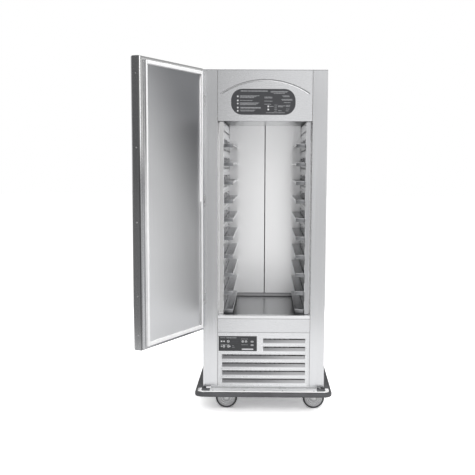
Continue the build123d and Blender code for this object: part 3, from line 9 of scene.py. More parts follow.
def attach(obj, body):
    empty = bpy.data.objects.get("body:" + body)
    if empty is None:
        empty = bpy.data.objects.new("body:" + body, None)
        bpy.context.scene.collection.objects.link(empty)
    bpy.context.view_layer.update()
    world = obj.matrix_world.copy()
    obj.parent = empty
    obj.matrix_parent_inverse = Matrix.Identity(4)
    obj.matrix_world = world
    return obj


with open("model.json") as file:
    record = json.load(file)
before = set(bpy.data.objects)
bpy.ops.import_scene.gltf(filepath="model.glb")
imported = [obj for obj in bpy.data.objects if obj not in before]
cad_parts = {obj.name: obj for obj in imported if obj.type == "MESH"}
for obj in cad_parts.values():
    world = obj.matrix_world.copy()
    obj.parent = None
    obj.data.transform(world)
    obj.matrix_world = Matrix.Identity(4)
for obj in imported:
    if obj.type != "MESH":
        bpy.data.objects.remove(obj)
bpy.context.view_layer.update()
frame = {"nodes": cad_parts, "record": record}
nodes = frame["nodes"]
IMAGE = 475  # the photograph's width and height in pixels

# Places taken from the cabinet's drawing, in metres
FRONT, REAR = -0.485, 0.485
HINGE = Vector((-0.358, -0.521, 0))
HINGE_HEIGHTS = (1.769, 1.213, 0.657)
DOOR_ANGLE = radians(-112.5)
DOOR_TURN = (
    Matrix.Translation(HINGE) @ Matrix.Rotation(DOOR_ANGLE, 4, "Z") @ Matrix.Translation(-HINGE)
)
LATCH_WAY = (cos(DOOR_ANGLE), sin(DOOR_ANGLE), 0)  # from the hinge to the latch, at rest
HINGE_TO_MIDDLE, DOOR_MIDDLE = 0.358, 1.21275
CAVITY_FLOOR, THROAT_FOOT, THROAT_TOP = 0.549, 0.551, 1.659
SLIDE_LEVELS, TOP_SLIDE, LOWEST_SLIDE = 10, 1.538, 0.0368
SLIDE_PITCH = (TOP_SLIDE - CAVITY_FLOOR - LOWEST_SLIDE) / (SLIDE_LEVELS - 1)
CURB_FOOT, CURB_TOP, CURB_FOLD = (0.5525, 0.5545), (0.5675, 0.5685), (0.5725, 0.5745)
GASKET_HALF_WIDTH, GASKET_HALF_HEIGHT = 0.315, 0.7135
LABEL_FACE, PLATE_FACE = -0.4862, -0.487
WHEEL_HEIGHT = 0.0635
SIDES = ((-1, "left"), (1, "right"))


# ---- camera


def make_camera():
    """The photograph's viewpoint, fitted to the cabinet's corners."""
    yaw, pitch, roll = radians(-0.68), radians(7.67), radians(0.28)
    focal, centre_u, centre_v = 964.9, 254.3, 295.73
    place = Matrix.Translation((0.0099, -5.9733, 1.4128))
    forward = Vector((sin(yaw) * cos(pitch), cos(yaw) * cos(pitch), -sin(pitch)))
    right = Vector((cos(yaw), -sin(yaw), 0))
    up = right.cross(forward)
    right, up = cos(roll) * right + sin(roll) * up, cos(roll) * up - sin(roll) * right
    data = bpy.data.cameras.new("camera")
    camera = bpy.data.objects.new("camera", data)
    camera.matrix_world = place @ Matrix((right, up, -forward)).transposed().to_4x4()
    data.sensor_width = 36
    data.lens = focal / IMAGE * data.sensor_width
    data.shift_x = (IMAGE / 2 - centre_u) / IMAGE
    data.shift_y = (centre_v - IMAGE / 2) / IMAGE
    data.clip_start, data.clip_end = 0.05, 100
    bpy.context.collection.objects.link(camera)
    bpy.context.scene.camera = camera


# ---- shader nodes


class Tree:
    """Adds nodes to a shader tree; inputs are numbers, colours or other nodes' outputs."""

    def __init__(self, tree):
        self.tree = tree

    def put(self, socket, value):
        if isinstance(value, bpy.types.NodeSocket):
            self.tree.links.new(value, socket)
        else:
            socket.default_value = value

    def node(self, kind, inputs=None, output=0, **settings):
        made = self.tree.nodes.new("ShaderNode" + kind)
        for key, value in settings.items():
            setattr(made, key, value)
        for key, value in (inputs or {}).items():
            self.put(made.inputs[key], value)
        return made.outputs[output]

    def math(self, operation, *values):
        return self.node("Math", dict(enumerate(values)), operation=operation)

    def dot(self, a, b):
        return self.node("VectorMath", {0: a, 1: b}, output="Value", operation="DOT_PRODUCT")

    def ramp(self, value, start, end, low, high, smooth=True):
        kind = "SMOOTHSTEP" if smooth else "LINEAR"
        ports = {"Value": value, "From Min": start, "From Max": end, "To Min": low, "To Max": high}
        return self.node("MapRange", ports, interpolation_type=kind)

    def mix(self, factor, a, b):
        made = self.tree.nodes.new("ShaderNodeMix")
        made.data_type = "RGBA"
        for key, value in (("Factor_Float", factor), ("A_Color", a), ("B_Color", b)):
            socket = next(s for s in made.inputs if s.identifier == key)
            self.put(socket, value)
        return next(s for s in made.outputs if s.identifier == "Result_Color")

    def split(self, vector):
        """The three coordinates of a vector."""
        made = self.tree.nodes.new("ShaderNodeSeparateXYZ")
        self.put(made.inputs[0], vector)
        return made.outputs

    def here(self):
        """The shaded point's place on its object."""
        return self.node("TexCoord", output="Object")

    def facing(self):
        return self.node("NewGeometry", output="Normal")

    def bearing(self, x, y, least):
        """How far a level vector reaches, and the share of it that lies along X."""
        squares = [self.math("POWER", value, 2.0) for value in (x, y)]
        reach = self.math("SQRT", self.math("ADD", *squares))
        return reach, self.math("DIVIDE", x, self.math("MAXIMUM", reach, least))

    def place(self, scale=(1, 1, 1)):
        return self.node("Mapping", {"Vector": self.here(), "Scale": scale})

    def noise(self, scale, detail=3.0, roughness=0.5, distortion=0.0):
        ports = {"Vector": self.place(scale), "Scale": 1.0, "Detail": detail}
        ports |= {"Roughness": roughness, "Distortion": distortion}
        return self.node("TexNoise", ports)


def new_material(name):
    material = bpy.data.materials.new(name)
    material.use_nodes = True
    return material, Tree(material.node_tree), material.node_tree.nodes["Principled BSDF"]


def reopen(material):
    """A made material's tree and shader, and what sets its colour and its roughness."""
    bsdf = material.node_tree.nodes["Principled BSDF"]
    plain, worn = (bsdf.inputs[key].links[0].from_socket for key in ("Base Color", "Roughness"))
    return Tree(material.node_tree), bsdf, plain, worn


def tint(colour, factor):
    return (*[min(1.0, c * factor) for c in colour], 1)


def bump(tree, height, strength, distance):
    return tree.node("Bump", {"Height": height, "Strength": strength, "Distance": distance})


def steel(
    name,
    colour,
    roughness,
    grain,
    anisotropy,
    spread=None,
    depth=0.02,
    streak=0.03,
    metal=1.0,
    wear=1.0,
):
    """Brushed stainless steel: fine grain along one axis, slow clouding and faint handling marks.
    Highlights spread across the grain, or across the axis that spread names."""
    material, tree, bsdf = new_material(name)
    lengthwise = "XYZ".index(grain)
    fine_scale, coarse_scale = [1400.0] * 3, [110.0] * 3
    fine_scale[lengthwise], coarse_scale[lengthwise] = 9.0, 1.6
    fine = tree.noise(fine_scale, 3.0, 0.6)
    coarse = tree.noise(coarse_scale, 4.0, 0.65)
    cloud = tree.noise((3.1, 3.1, 3.1), 3.0, 0.55)
    smudge = tree.noise((17, 17, 11), 4.0, 0.7, 0.6)
    dark, light = tint(colour, 1 - streak), tint(colour, 1 + streak)
    lines = tree.mix(tree.ramp(coarse, 0.3, 0.7, 0, 1), dark, light)
    wiped = tree.mix(tree.ramp(cloud, 0.4, 0.75, 0, 0.3), lines, tint(colour, 0.95))
    tree.put(bsdf.inputs["Base Color"], wiped)
    rubbed = tree.ramp(fine, 0.3, 0.7, -0.02, 0.025)
    handled = tree.ramp(smudge, 0.45, 0.7, 0, 0.008)
    worn = tree.math("MULTIPLY", tree.math("ADD", rubbed, handled), wear)
    tree.put(bsdf.inputs["Roughness"], tree.math("ADD", worn, roughness))
    bsdf.inputs["Metallic"].default_value = metal
    bsdf.inputs["Anisotropic"].default_value = anisotropy
    axis = {"X": (1, 0, 0), "Y": (0, 1, 0), "Z": (0, 0, 1)}[spread or grain]
    across = tree.node("VectorMath", {0: tree.facing(), 1: axis}, operation="CROSS_PRODUCT")
    never_zero = (0.003, 0.002, 0.001)  # keeps a direction where the axis is the normal
    across = tree.node("VectorMath", {0: across, 1: never_zero}, operation="ADD")
    tree.put(bsdf.inputs["Tangent"], across)
    tree.put(bsdf.inputs["Normal"], bump(tree, fine, depth, 0.0003))
    return material


def by_height(tree, below, low, high, above):
    """A tone that changes between two heights of the object."""
    height = tree.split(tree.here())[2]
    return tree.mix(tree.ramp(height, low, high, 0, 1), below, above)


def shade_behind(material, edge, reach, left_shade, right_shade):
    """Darkens a front's surface where it lies behind its outer face with painted shade, lighter to
    the right than to the left.
    """
    tree, bsdf, plain, _ = reopen(material)
    x, y, _ = tree.split(tree.here())
    depth = tree.ramp(y, edge, edge + reach, 0, 1)
    # painted shade in the recess, lighter to the right
    shade = tree.mix(tree.ramp(x, -0.05, 0.2, 0, 1), left_shade, right_shade)
    tree.put(bsdf.inputs["Base Color"], tree.mix(depth, plain, shade))
    return material


def curb_shade(material):
    """The back wall's foot: painted shade in the crease at the curb's foot, a curb face painted
    darker, and a band of painted shade along its fold.
    """
    tree, bsdf, plain, _ = reopen(material)
    # painted shade: the curb's foot, its face and its fold
    foot_shade, curb, fold_shade = (0.1, 0.1, 0.1, 1), (0.5, 0.5, 0.51, 1), (0.3, 0.3, 0.31, 1)
    tone = by_height(tree, foot_shade, *CURB_FOOT, curb)
    tone = by_height(tree, tone, *CURB_TOP, fold_shade)
    tree.put(bsdf.inputs["Base Color"], by_height(tree, tone, *CURB_FOLD, plain))
    return material


def polished_rim_painted_light(material):
    """The door's inner pan. Outside its gasket is a smoother rim with a painted highlight near the
    top and painted shade lower down. Within the gasket is a painted shade patch high on the hinge
    side and a painted darker tone towards the foot.
    """
    tree, bsdf, bare, worn = reopen(material)
    place = tree.here()
    from_hinge = tree.node("VectorMath", {0: place, 1: tuple(HINGE)}, operation="SUBTRACT")
    across, height = tree.dot(from_hinge, LATCH_WAY), tree.split(place)[2]
    off_middle = tree.math("ABSOLUTE", tree.math("SUBTRACT", across, HINGE_TO_MIDDLE))
    off_centre = tree.math("ABSOLUTE", tree.math("SUBTRACT", height, DOOR_MIDDLE))
    blur = 0.001
    aside = tree.ramp(off_middle, GASKET_HALF_WIDTH - blur, GASKET_HALF_WIDTH + blur, 0, 1)
    ends = tree.ramp(off_centre, GASKET_HALF_HEIGHT - blur, GASKET_HALF_HEIGHT + blur, 0, 1)
    rim = tree.math("MAXIMUM", aside, ends)
    slant = tree.math("SUBTRACT", height, tree.math("MULTIPLY", across, 0.9))
    # painted shade: a dark patch high on the hinge side, and a darker tone towards the foot
    dark, low = (0.4, 0.405, 0.42, 1), (0.74, 0.745, 0.755, 1)
    plain = tree.mix(tree.ramp(slant, 0.85, 1.6, 0, 1), bare, dark)
    plain = tree.mix(tree.ramp(height, 0.5, 1.1, 1, 0), plain, low)
    # the rim's painted highlight near the top, and painted shade below it
    rim_shade, rim_highlight = (0.42, 0.425, 0.435, 1), (1, 1, 1, 1)
    edge = tree.mix(tree.ramp(height, 1.3, 1.6, 0, 1), rim_shade, rim_highlight)
    tree.put(bsdf.inputs["Base Color"], tree.mix(rim, plain, edge))
    smoother = tree.math("SUBTRACT", worn, tree.math("MULTIPLY", rim, 0.3))
    tree.put(bsdf.inputs["Roughness"], smoother)
    return material


def shaded_gasket_side(material):
    """Painted shade on the gasket's outer side by the latch, deepening towards its top."""
    tree, bsdf, plain, _ = reopen(material)
    side = tree.ramp(tree.dot(tree.facing(), LATCH_WAY), 0.3, 0.7, 0, 1)
    height = tree.split(tree.here())[2]
    # painted shade on faces that look towards the latch, from 1.15 m up
    side_shade = tree.math("MULTIPLY", side, tree.ramp(height, 1.15, 1.65, 0, 0.85))
    tree.put(bsdf.inputs["Base Color"], tree.mix(side_shade, plain, (0.16, 0.16, 0.165, 1)))
    return material


def duct_lips(material):
    """The ducts' front flanges, of which the right one is painted darker as painted shade."""
    tree, bsdf, plain, _ = reopen(material)
    # painted shade: the right flange darker than the left
    left_lip, shaded_right_lip = (1, 1, 1, 1), (0.6, 0.605, 0.62, 1)
    lip = tree.mix(tree.ramp(tree.split(tree.here())[0], -0.2, 0.2, 0, 1), left_lip, shaded_right_lip)
    front = tree.ramp(tree.split(tree.facing())[1], -0.7, -0.5, 1, 0)
    tree.put(bsdf.inputs["Base Color"], tree.mix(front, plain, lip))
    return material


def ledges_painted_dark(material, ledge):
    """The slides' level faces carry a painted dark reflection and are rougher, and their upright
    ones stay polished.
    """
    tree, bsdf, plain, worn = reopen(material)
    level = tree.ramp(tree.math("ABSOLUTE", tree.split(tree.facing())[2]), 0.6, 0.8, 0, 1)
    # painted dark reflection on the level faces
    tree.put(bsdf.inputs["Base Color"], tree.mix(level, plain, ledge))
    rougher = tree.math("ADD", worn, tree.ramp(level, 0, 1, 0, 0.13))
    tree.put(bsdf.inputs["Roughness"], rougher)
    return material


def pressed_arc(material, edge):
    """The header's stamped groove: painted shade on its down-facing upper wall, a painted highlight
    on its up-facing lower wall, and a rougher finish inside.
    """
    tree, bsdf, plain, worn = reopen(material)
    inside = tree.ramp(tree.split(tree.here())[1], edge, edge + 0.0006, 0, 1)
    # painted shade and painted highlight, chosen by which way each wall faces
    groove_shade, groove_highlight = (0.3, 0.3, 0.31, 1), (0.95, 0.955, 0.96, 1)
    wall = tree.mix(tree.ramp(tree.split(tree.facing())[2], -0.35, 0.25, 0, 1), groove_shade, groove_highlight)
    tree.put(bsdf.inputs["Base Color"], tree.mix(inside, plain, wall))
    rough = tree.math("ADD", worn, tree.ramp(inside, 0, 1, 0, 0.25))
    tree.put(bsdf.inputs["Roughness"], rough)
    return material


def liner_steel(name, wall, floor, low, high):
    """The cavity's steel, whose floor is painted darker than its walls as painted shade."""
    material = steel(name, wall, 0.28, "Z", 0.5, "X")
    tree, bsdf, plain, _ = reopen(material)
    # painted shade on the cavity's floor
    tree.put(bsdf.inputs["Base Color"], by_height(tree, (*floor, 1), low, high, plain))
    return material


def cast(name, colour, roughness, metallic, grain, depth, speckle=0.06):
    """Moulded, painted or plated stuff: a fine surface grain, slow variation and a little wear."""
    material, tree, bsdf = new_material(name)
    fine = tree.noise((grain * 4,) * 3, 2.0, 0.5)
    slow = tree.noise((grain / 9,) * 3, 4.0, 0.6)
    dark, light = tint(colour, 1 - speckle), tint(colour, 1 + speckle)
    tone = tree.mix(tree.ramp(slow, 0.3, 0.7, 0, 1), dark, light)
    tone = tree.mix(tree.ramp(fine, 0.55, 0.8, 0, 0.25), tone, tint(colour, 1.12))
    tree.put(bsdf.inputs["Base Color"], tone)
    worn = tree.ramp(slow, 0.3, 0.7, roughness - 0.05, roughness + 0.07)
    tree.put(bsdf.inputs["Roughness"], worn)
    bsdf.inputs["Metallic"].default_value = metallic
    tree.put(bsdf.inputs["Normal"], bump(tree, fine, depth, 0.0002))
    return material


def scuffed_rubber(name, colour):
    """Dark vinyl with pale scuffs along its nose."""
    material, tree, bsdf = new_material(name)
    fine = tree.noise((1300, 1300, 1300), 2.0)
    scuff = tree.noise((26, 26, 160), 5.0, 0.7, 0.4)
    slow = tree.noise((9, 9, 9), 3.0)
    tone = tree.mix(tree.ramp(slow, 0.3, 0.7, 0, 1), tint(colour, 0.9), tint(colour, 1.1))
    tone = tree.mix(tree.ramp(scuff, 0.58, 0.75, 0, 0.3), tone, tint(colour, 2.2))
    tree.put(bsdf.inputs["Base Color"], tone)
    tree.put(bsdf.inputs["Roughness"], tree.ramp(scuff, 0.4, 0.7, 0.42, 0.6))
    tree.put(bsdf.inputs["Normal"], bump(tree, fine, 0.3, 0.0002))
    return material


def fins(name, colour):
    """A finned coil: thin plates close together, seen as fine ribs with shadow between."""
    material, tree, bsdf = new_material(name)
    ports = {"Vector": tree.place(), "Scale": 95.0, "Distortion": 0.15}
    ribs = tree.node("TexWave", ports, output="Fac")
    slow = tree.noise((40, 40, 40), 3.0)
    shade = tree.mix(ribs, tint(colour, 0.35), tint(colour, 1.0))
    tone = tree.mix(tree.ramp(slow, 0.4, 0.8, 0, 0.3), shade, tint(colour, 0.7))
    tree.put(bsdf.inputs["Base Color"], tone)
    bsdf.inputs["Metallic"].default_value = 0.8
    tree.put(bsdf.inputs["Roughness"], tree.ramp(slow, 0.3, 0.7, 0.4, 0.55))
    tree.put(bsdf.inputs["Normal"], bump(tree, ribs, 0.6, 0.001))
    return material


def foam(name, colour):
    """Cut foam: small cells with a matt, uneven tone."""
    material, tree, bsdf = new_material(name)
    ports = {"Vector": tree.place((420, 420, 420)), "Scale": 1.0}
    cells = tree.node("TexVoronoi", ports, output="Distance")
    slow = tree.noise((14, 14, 14), 4.0)
    tree.put(bsdf.inputs["Base Color"], tree.mix(slow, tint(colour, 0.85), tint(colour, 1.1)))
    tree.put(bsdf.inputs["Roughness"], tree.ramp(cells, 0, 1, 0.75, 0.95))
    tree.put(bsdf.inputs["Normal"], bump(tree, cells, 0.5, 0.0008))
    return material


STEEL = (0.74, 0.745, 0.76)
SMOOTH_SHEET = {"depth": 0.002, "streak": 0.006, "wear": 0.3}
M = {
    "skin": steel("skin_vertical_grain", STEEL, 0.24, "Z", 0.65),
    "face": steel("skin_level_grain", STEEL, 0.27, "X", 0.65, **SMOOTH_SHEET),
    "threshold": steel(
        "threshold_grain", (0.9, 0.905, 0.915), 0.34, "X", 0.5, depth=0.006, streak=0.006
    ),
    # the header's groove carries painted shade and a painted highlight
    "header": pressed_arc(
        steel("header_level_grain", (0.76, 0.765, 0.78), 0.27, "X", 0.65, **SMOOTH_SHEET),
        FRONT + 0.0005,
    ),
    # the grille's slots carry painted shade
    "grille": shade_behind(
        steel("grille_level_grain", (0.78, 0.785, 0.8), 0.27, "X", 0.65, depth=0.012, streak=0.012),
        FRONT + 0.0012,
        0.003,
        (0.3, 0.3, 0.31, 1),
        (0.44, 0.44, 0.45, 1),
    ),
    "diffuser": steel("diffuser_sheet", (0.98, 0.98, 0.985), 0.4, "Z", 0.3, metal=0.4),
    "door": steel("door_grain", STEEL, 0.24, "Z", 0.6),
    # the door's inner pan carries painted highlight and painted shade
    "door_inside": polished_rim_painted_light(
        steel("door_inside_grain", (0.93, 0.935, 0.945), 0.5, "Z", 0.35, depth=0.01, streak=0.015)
    ),
    # the cavity's floor carries painted shade
    "liner": liner_steel("liner_grain", (0.88, 0.885, 0.895), (0.27, 0.275, 0.285), 0.551, 0.556),
    # the ducts' right front flange carries painted shade
    "duct": duct_lips(steel("duct_sheet", (0.84, 0.845, 0.855), 0.1, "Z", 0.2, depth=0.01)),
    # the back wall's curb carries painted shade
    "back": curb_shade(
        steel(
            "back_wall_grain",
            (0.99, 0.992, 1.0),
            0.28,
            "Z",
            0.62,
            "X",
            depth=0.001,
            streak=0.004,
            metal=0.98,
            wear=0.1,
        )
    ),
    # the slides' level faces carry a painted dark reflection
    "slide": ledges_painted_dark(
        steel("slide_grain", (0.8, 0.805, 0.82), 0.08, "Y", 0.2), (0.42, 0.425, 0.44, 1)
    ),
    # painted shade: dark steel for the slides' front ends
    "slide_end": steel("slide_end_shaded_sheet", (0.27, 0.275, 0.285), 0.4, "X", 0.2),
    "deck": steel("deck_grain", (0.87, 0.875, 0.88), 0.42, "X", 0.5, metal=0.5),
    "chassis": steel("chassis_sheet", (0.5, 0.5, 0.51), 0.42, "X", 0.2),
    "rail": steel("rail_sheet", (0.97, 0.97, 0.975), 0.35, "X", 0.3, metal=0.1),
    "rubber": scuffed_rubber("bumper_rubber_dressed", (0.08, 0.081, 0.086)),
    "zinc": cast("zinc_plate", (0.62, 0.62, 0.63), 0.32, 1.0, 120, 0.12),
    "core": cast("wheel_core_grey", (0.6, 0.6, 0.61), 0.4, 0.0, 200, 0.15),
    "tyre": cast("tyre_grey_dressed", (0.07, 0.071, 0.075), 0.55, 0.0, 300, 0.3),
    "plate": cast("plate_print_black", (0.044, 0.045, 0.049), 0.38, 0.0, 500, 0.06),
    "control": cast("control_print_black", (0.036, 0.037, 0.04), 0.38, 0.0, 500, 0.06),
    "rib": cast("hub_rib_plate", (0.82, 0.82, 0.83), 0.22, 1.0, 120, 0.1),
    "seal": cast("foot_seal_grey", (0.4, 0.402, 0.41), 0.5, 0.0, 260, 0.15),
    "glass": cast("display_glass", (0.035, 0.036, 0.04), 0.12, 0.0, 500, 0.02),
    "key": cast("key_grey_dressed", (0.36, 0.36, 0.37), 0.45, 0.0, 400, 0.15),
    # the gasket's latch side carries painted shade
    "gasket": shaded_gasket_side(
        cast("gasket_white_dressed", (0.88, 0.88, 0.885), 0.5, 0.0, 240, 0.2, 0.03)
    ),
    "hinge": cast("hinge_satin", (0.6, 0.6, 0.61), 0.3, 1.0, 160, 0.12),
    "foam": foam("foam_cut", (0.78, 0.7, 0.45)),
    "fins": fins("coil_fins", (0.66, 0.67, 0.69)),
    "black": cast("machine_black_dressed", (0.03, 0.03, 0.032), 0.4, 0.0, 200, 0.3),
    "fan": cast("fan_plastic_dressed", (0.05, 0.05, 0.053), 0.48, 0.0, 260, 0.2),
    "copper": cast("copper_tube", (0.75, 0.4, 0.26), 0.3, 1.0, 90, 0.1, 0.12),
    "housing": cast("housing_plastic_dressed", (0.09, 0.09, 0.095), 0.5, 0.0, 260, 0.25),
    "print": cast("print_grey", (0.3, 0.305, 0.315), 0.5, 0.0, 500, 0.05),
    "print_light": cast("print_light_grey", (0.6, 0.605, 0.615), 0.5, 0.0, 500, 0.05),
    "screw": cast("screw_stainless", (0.7, 0.7, 0.71), 0.25, 1.0, 150, 0.08),
    "dark_gap": cast("sealant_grey", (0.16, 0.162, 0.168), 0.6, 0.0, 260, 0.2),
    "brass": cast("brass_pin", (0.8, 0.62, 0.32), 0.3, 1.0, 90, 0.08),
}
OF_SLOT = {
    "brushed_skin": "skin",
    "liner_steel": "liner",
    "slide_steel": "slide",
    "chassis_steel": "chassis",
    "bumper_channel": "rail",
    "bumper_rubber": "rubber",
    "caster_zinc": "zinc",
    "wheel_core": "core",
    "tyre_grey": "tyre",
    "plate_black": "plate",
    "display_dark": "glass",
    "key_grey": "key",
    "gasket_white": "gasket",
    "hinge_steel": "hinge",
    "foam": "foam",
    "fins": "fins",
    "machine_black": "black",
    "fan_plastic": "fan",
    "copper": "copper",
    "housing_plastic": "housing",
}
OF_NODE = {
    "header_panel": "header",
    "sill_panel": "face",
    "threshold_strip": "threshold",
    "control_plate": "control",
    "air_duct_panels": "duct",
    "front_grille": "grille",
    "front_deck_plate": "deck",
    "back_wall_panels": "back",
    "door_outer_pan": "door",
    "door_inner_pan": "door_inside",
}


SHARP_EDGE, FOLDED_EDGE = radians(32), radians(40)


def smooth_by_angle():
    """A modifier's node group that smooths shading except across sharp edges."""
    group = bpy.data.node_groups.new("smooth_shading", "GeometryNodeTree")
    group.interface.new_socket("Geometry", in_out="INPUT", socket_type="NodeSocketGeometry")
    group.interface.new_socket("Geometry", in_out="OUTPUT", socket_type="NodeSocketGeometry")
    put = group.nodes.new
    source, drain = put("NodeGroupInput"), put("NodeGroupOutput")
    faces, edges = put("GeometryNodeSetShadeSmooth"), put("GeometryNodeSetShadeSmooth")
    edges.domain = "EDGE"
    angle, limit = put("GeometryNodeInputMeshEdgeAngle"), put("FunctionNodeCompare")
    limit.operation = "LESS_THAN"
    limit.inputs["B"].default_value = SHARP_EDGE
    link = group.links.new
    link(angle.outputs["Unsigned Angle"], limit.inputs["A"])
    link(source.outputs[0], faces.inputs["Geometry"])
    link(faces.outputs[0], edges.inputs["Geometry"])
    link(limit.outputs[0], edges.inputs["Shade Smooth"])
    link(edges.outputs[0], drain.inputs[0])
    return group


SMOOTH = smooth_by_angle()
BEVELLED = {  # widths in millimetres
    "front_pillars": 0.8,
    "header_panel": 0.6,
    "sill_panel": 0.6,
    "front_grille": 0.5,
    "top_panel": 0.6,
    "front_deck_plate": 0.8,
    "control_plate": 0.4,
    "operation_label": 0.4,
}


def soften(made, width):
    """Rounds the sharp edges of an object a little."""
    edge = made.modifiers.new("soft_edges", "BEVEL")
    edge.width, edge.segments = width, 2
    edge.limit_method, edge.angle_limit = "ANGLE", FOLDED_EDGE


def dress_nodes():
    """Gives each CAD node its finish, softened edges and smooth shading."""
    for part in frame["record"]["subparts"]:
        node = nodes[part["node"]]
        finish = M[OF_NODE.get(part["node"], OF_SLOT[part["material_slot"]])]
        if not node.material_slots:
            node.data.materials.append(finish)
        for place in node.material_slots:
            place.material = finish
        weld = node.modifiers.new("weld", "WELD")
        weld.merge_threshold = 1e-6
        if part["node"] in BEVELLED:
            soften(node, BEVELLED[part["node"]] / 1000)
        node.modifiers.new("shading", "NODES").node_group = SMOOTH
        if part["node"] in BEVELLED:
            flat = node.modifiers.new("flat_faces", "WEIGHTED_NORMAL")
            flat.weight, flat.keep_sharp = 100, True


# ---- pieces


BOX_FACES = ((0, 1, 3, 2), (4, 6, 7, 5), (0, 4, 5, 1), (2, 3, 7, 6), (0, 2, 6, 4), (1, 5, 7, 3))
# A screw head's outline from its middle: shares of its radius, and of its height
SCREW_DOME = ((0, -0.2), (1, -0.2), (1, 0.3), (0.85, 0.75), (0.55, 1))
SCREW_HEAD = (*SCREW_DOME, (0.45, 1), (0.45, 0.4), (0, 0.4))
SCREW_RISE = 0.45


class Shape:
    """Collects solids in one mesh, in metres, and makes a piece of the scene from them."""

    def __init__(self):
        self.bm = bmesh.new()

    def box(self, x, y, z):
        """A box between pairs of limits."""
        spots = [(a, b, c) for a in sorted(x) for b in sorted(y) for c in sorted(z)]
        corner = [self.bm.verts.new(spot) for spot in spots]
        for quad in BOX_FACES:
            self.bm.faces.new([corner[i] for i in quad])

    def lathe(self, profile, centre, axis, steps=40):
        """A closed profile of radius and place along the axis, turned about the axis."""
        rings = []
        for i in range(steps):
            a, b = cos(tau * i / steps), sin(tau * i / steps)
            spots = [along(axis, s, radius * a, radius * b) for radius, s in profile]
            rings.append([self.bm.verts.new(Vector(centre) + Vector(spot)) for spot in spots])
        self.skin(rings)
        verts = [vert for ring in rings for vert in ring]
        bmesh.ops.remove_doubles(self.bm, verts=verts, dist=1e-7)

    def ring(self, outline, centre, axis, steps, side=1):
        """Turns an outline given in millimetres; a side of -1 mirrors it along the axis."""
        self.lathe([(r / 1000, side * s / 1000) for r, s in outline], centre, axis, steps)

    def skin(self, rings):
        """Faces between rings of points, the last of which meets the first."""
        for i, ring in enumerate(rings):
            other = rings[(i + 1) % len(rings)]
            for k in range(len(ring)):
                m = (k + 1) % len(ring)
                self.bm.faces.new((ring[k], ring[m], other[m], other[k]))

    def screw(self, place, outward, radius):
        """A domed head with a socket, standing out from a face along an axis such as -Y."""
        sign = -1 if outward[0] == "-" else 1
        outline = [(r * radius, sign * s * SCREW_RISE * radius) for r, s in SCREW_HEAD]
        self.lathe(outline, place, outward[1], 20)

    def bead(self, points, radius, steps=10):
        """A round bead through points in one upright plane across Y, closed on itself."""
        normal = Vector((0, 1, 0))
        rings = []
        for i, point in enumerate(points):
            before, after = Vector(points[i - 1]), Vector(points[(i + 1) % len(points)])
            way_in = (Vector(point) - before).normalized()
            way_out = (after - Vector(point)).normalized()
            side = normal.cross(way_in + way_out).normalized()
            stretch = radius / max(0.3, side.dot(normal.cross(way_in)))
            ring = []
            for k in range(steps):
                a, b = cos(tau * k / steps), sin(tau * k / steps)
                spot = Vector(point) + side * stretch * a + Vector((0, radius * b, 0))
                ring.append(self.bm.verts.new(spot))
            rings.append(ring)
        self.skin(rings)

    def piece(self, name, finish, body="cabinet", soft=0.0, turn=None, sheet=0.0):
        """The finished object, which rides on a body; turn swings what was built closed."""
        if turn is not None:
            bmesh.ops.transform(self.bm, matrix=turn, verts=self.bm.verts)
        bmesh.ops.recalc_face_normals(self.bm, faces=self.bm.faces)
        mesh = bpy.data.meshes.new(name)
        self.bm.to_mesh(mesh)
        self.bm.free()
        mesh.materials.append(M[finish])
        made = bpy.data.objects.new(name, mesh)
        bpy.context.collection.objects.link(made)
        if sheet:
            made.modifiers.new("sheet", "SOLIDIFY").thickness = sheet
        if soft:
            soften(made, soft)
        made.modifiers.new("shading", "NODES").node_group = SMOOTH
        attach(made, body)
        return made


def along(axis, s, a, b):
    """A point whose place on the axis is s."""
    return {"X": (s, a, b), "Y": (a, s, b), "Z": (a, b, s)}[axis]


def ink(face):
    """The limits of a layer of print on a face that looks along -Y."""
    return face - 0.0002, face + 0.0001


WORD_LENGTHS, WORD_GAP = (4.6, 7.4, 3.2, 9.1, 5.5, 2.4), 1.3  # in millimetres


def print_rows(shape, left, top, face, rows, height):
    """Broken rules that stand for rows of small print; start, end and drop in millimetres."""
    for row, (start, end, drop) in enumerate(rows):
        place, word = start, row * 2
        while place < end - 1:
            stop = min(place + WORD_LENGTHS[word % len(WORD_LENGTHS)], end)
            x = (left + place / 1000, left + stop / 1000)
            z = (top - (drop - height / 2) / 1000, top - (drop + height / 2) / 1000)
            shape.box(x, ink(face), z)
            place, word = stop + WORD_GAP, word + 1


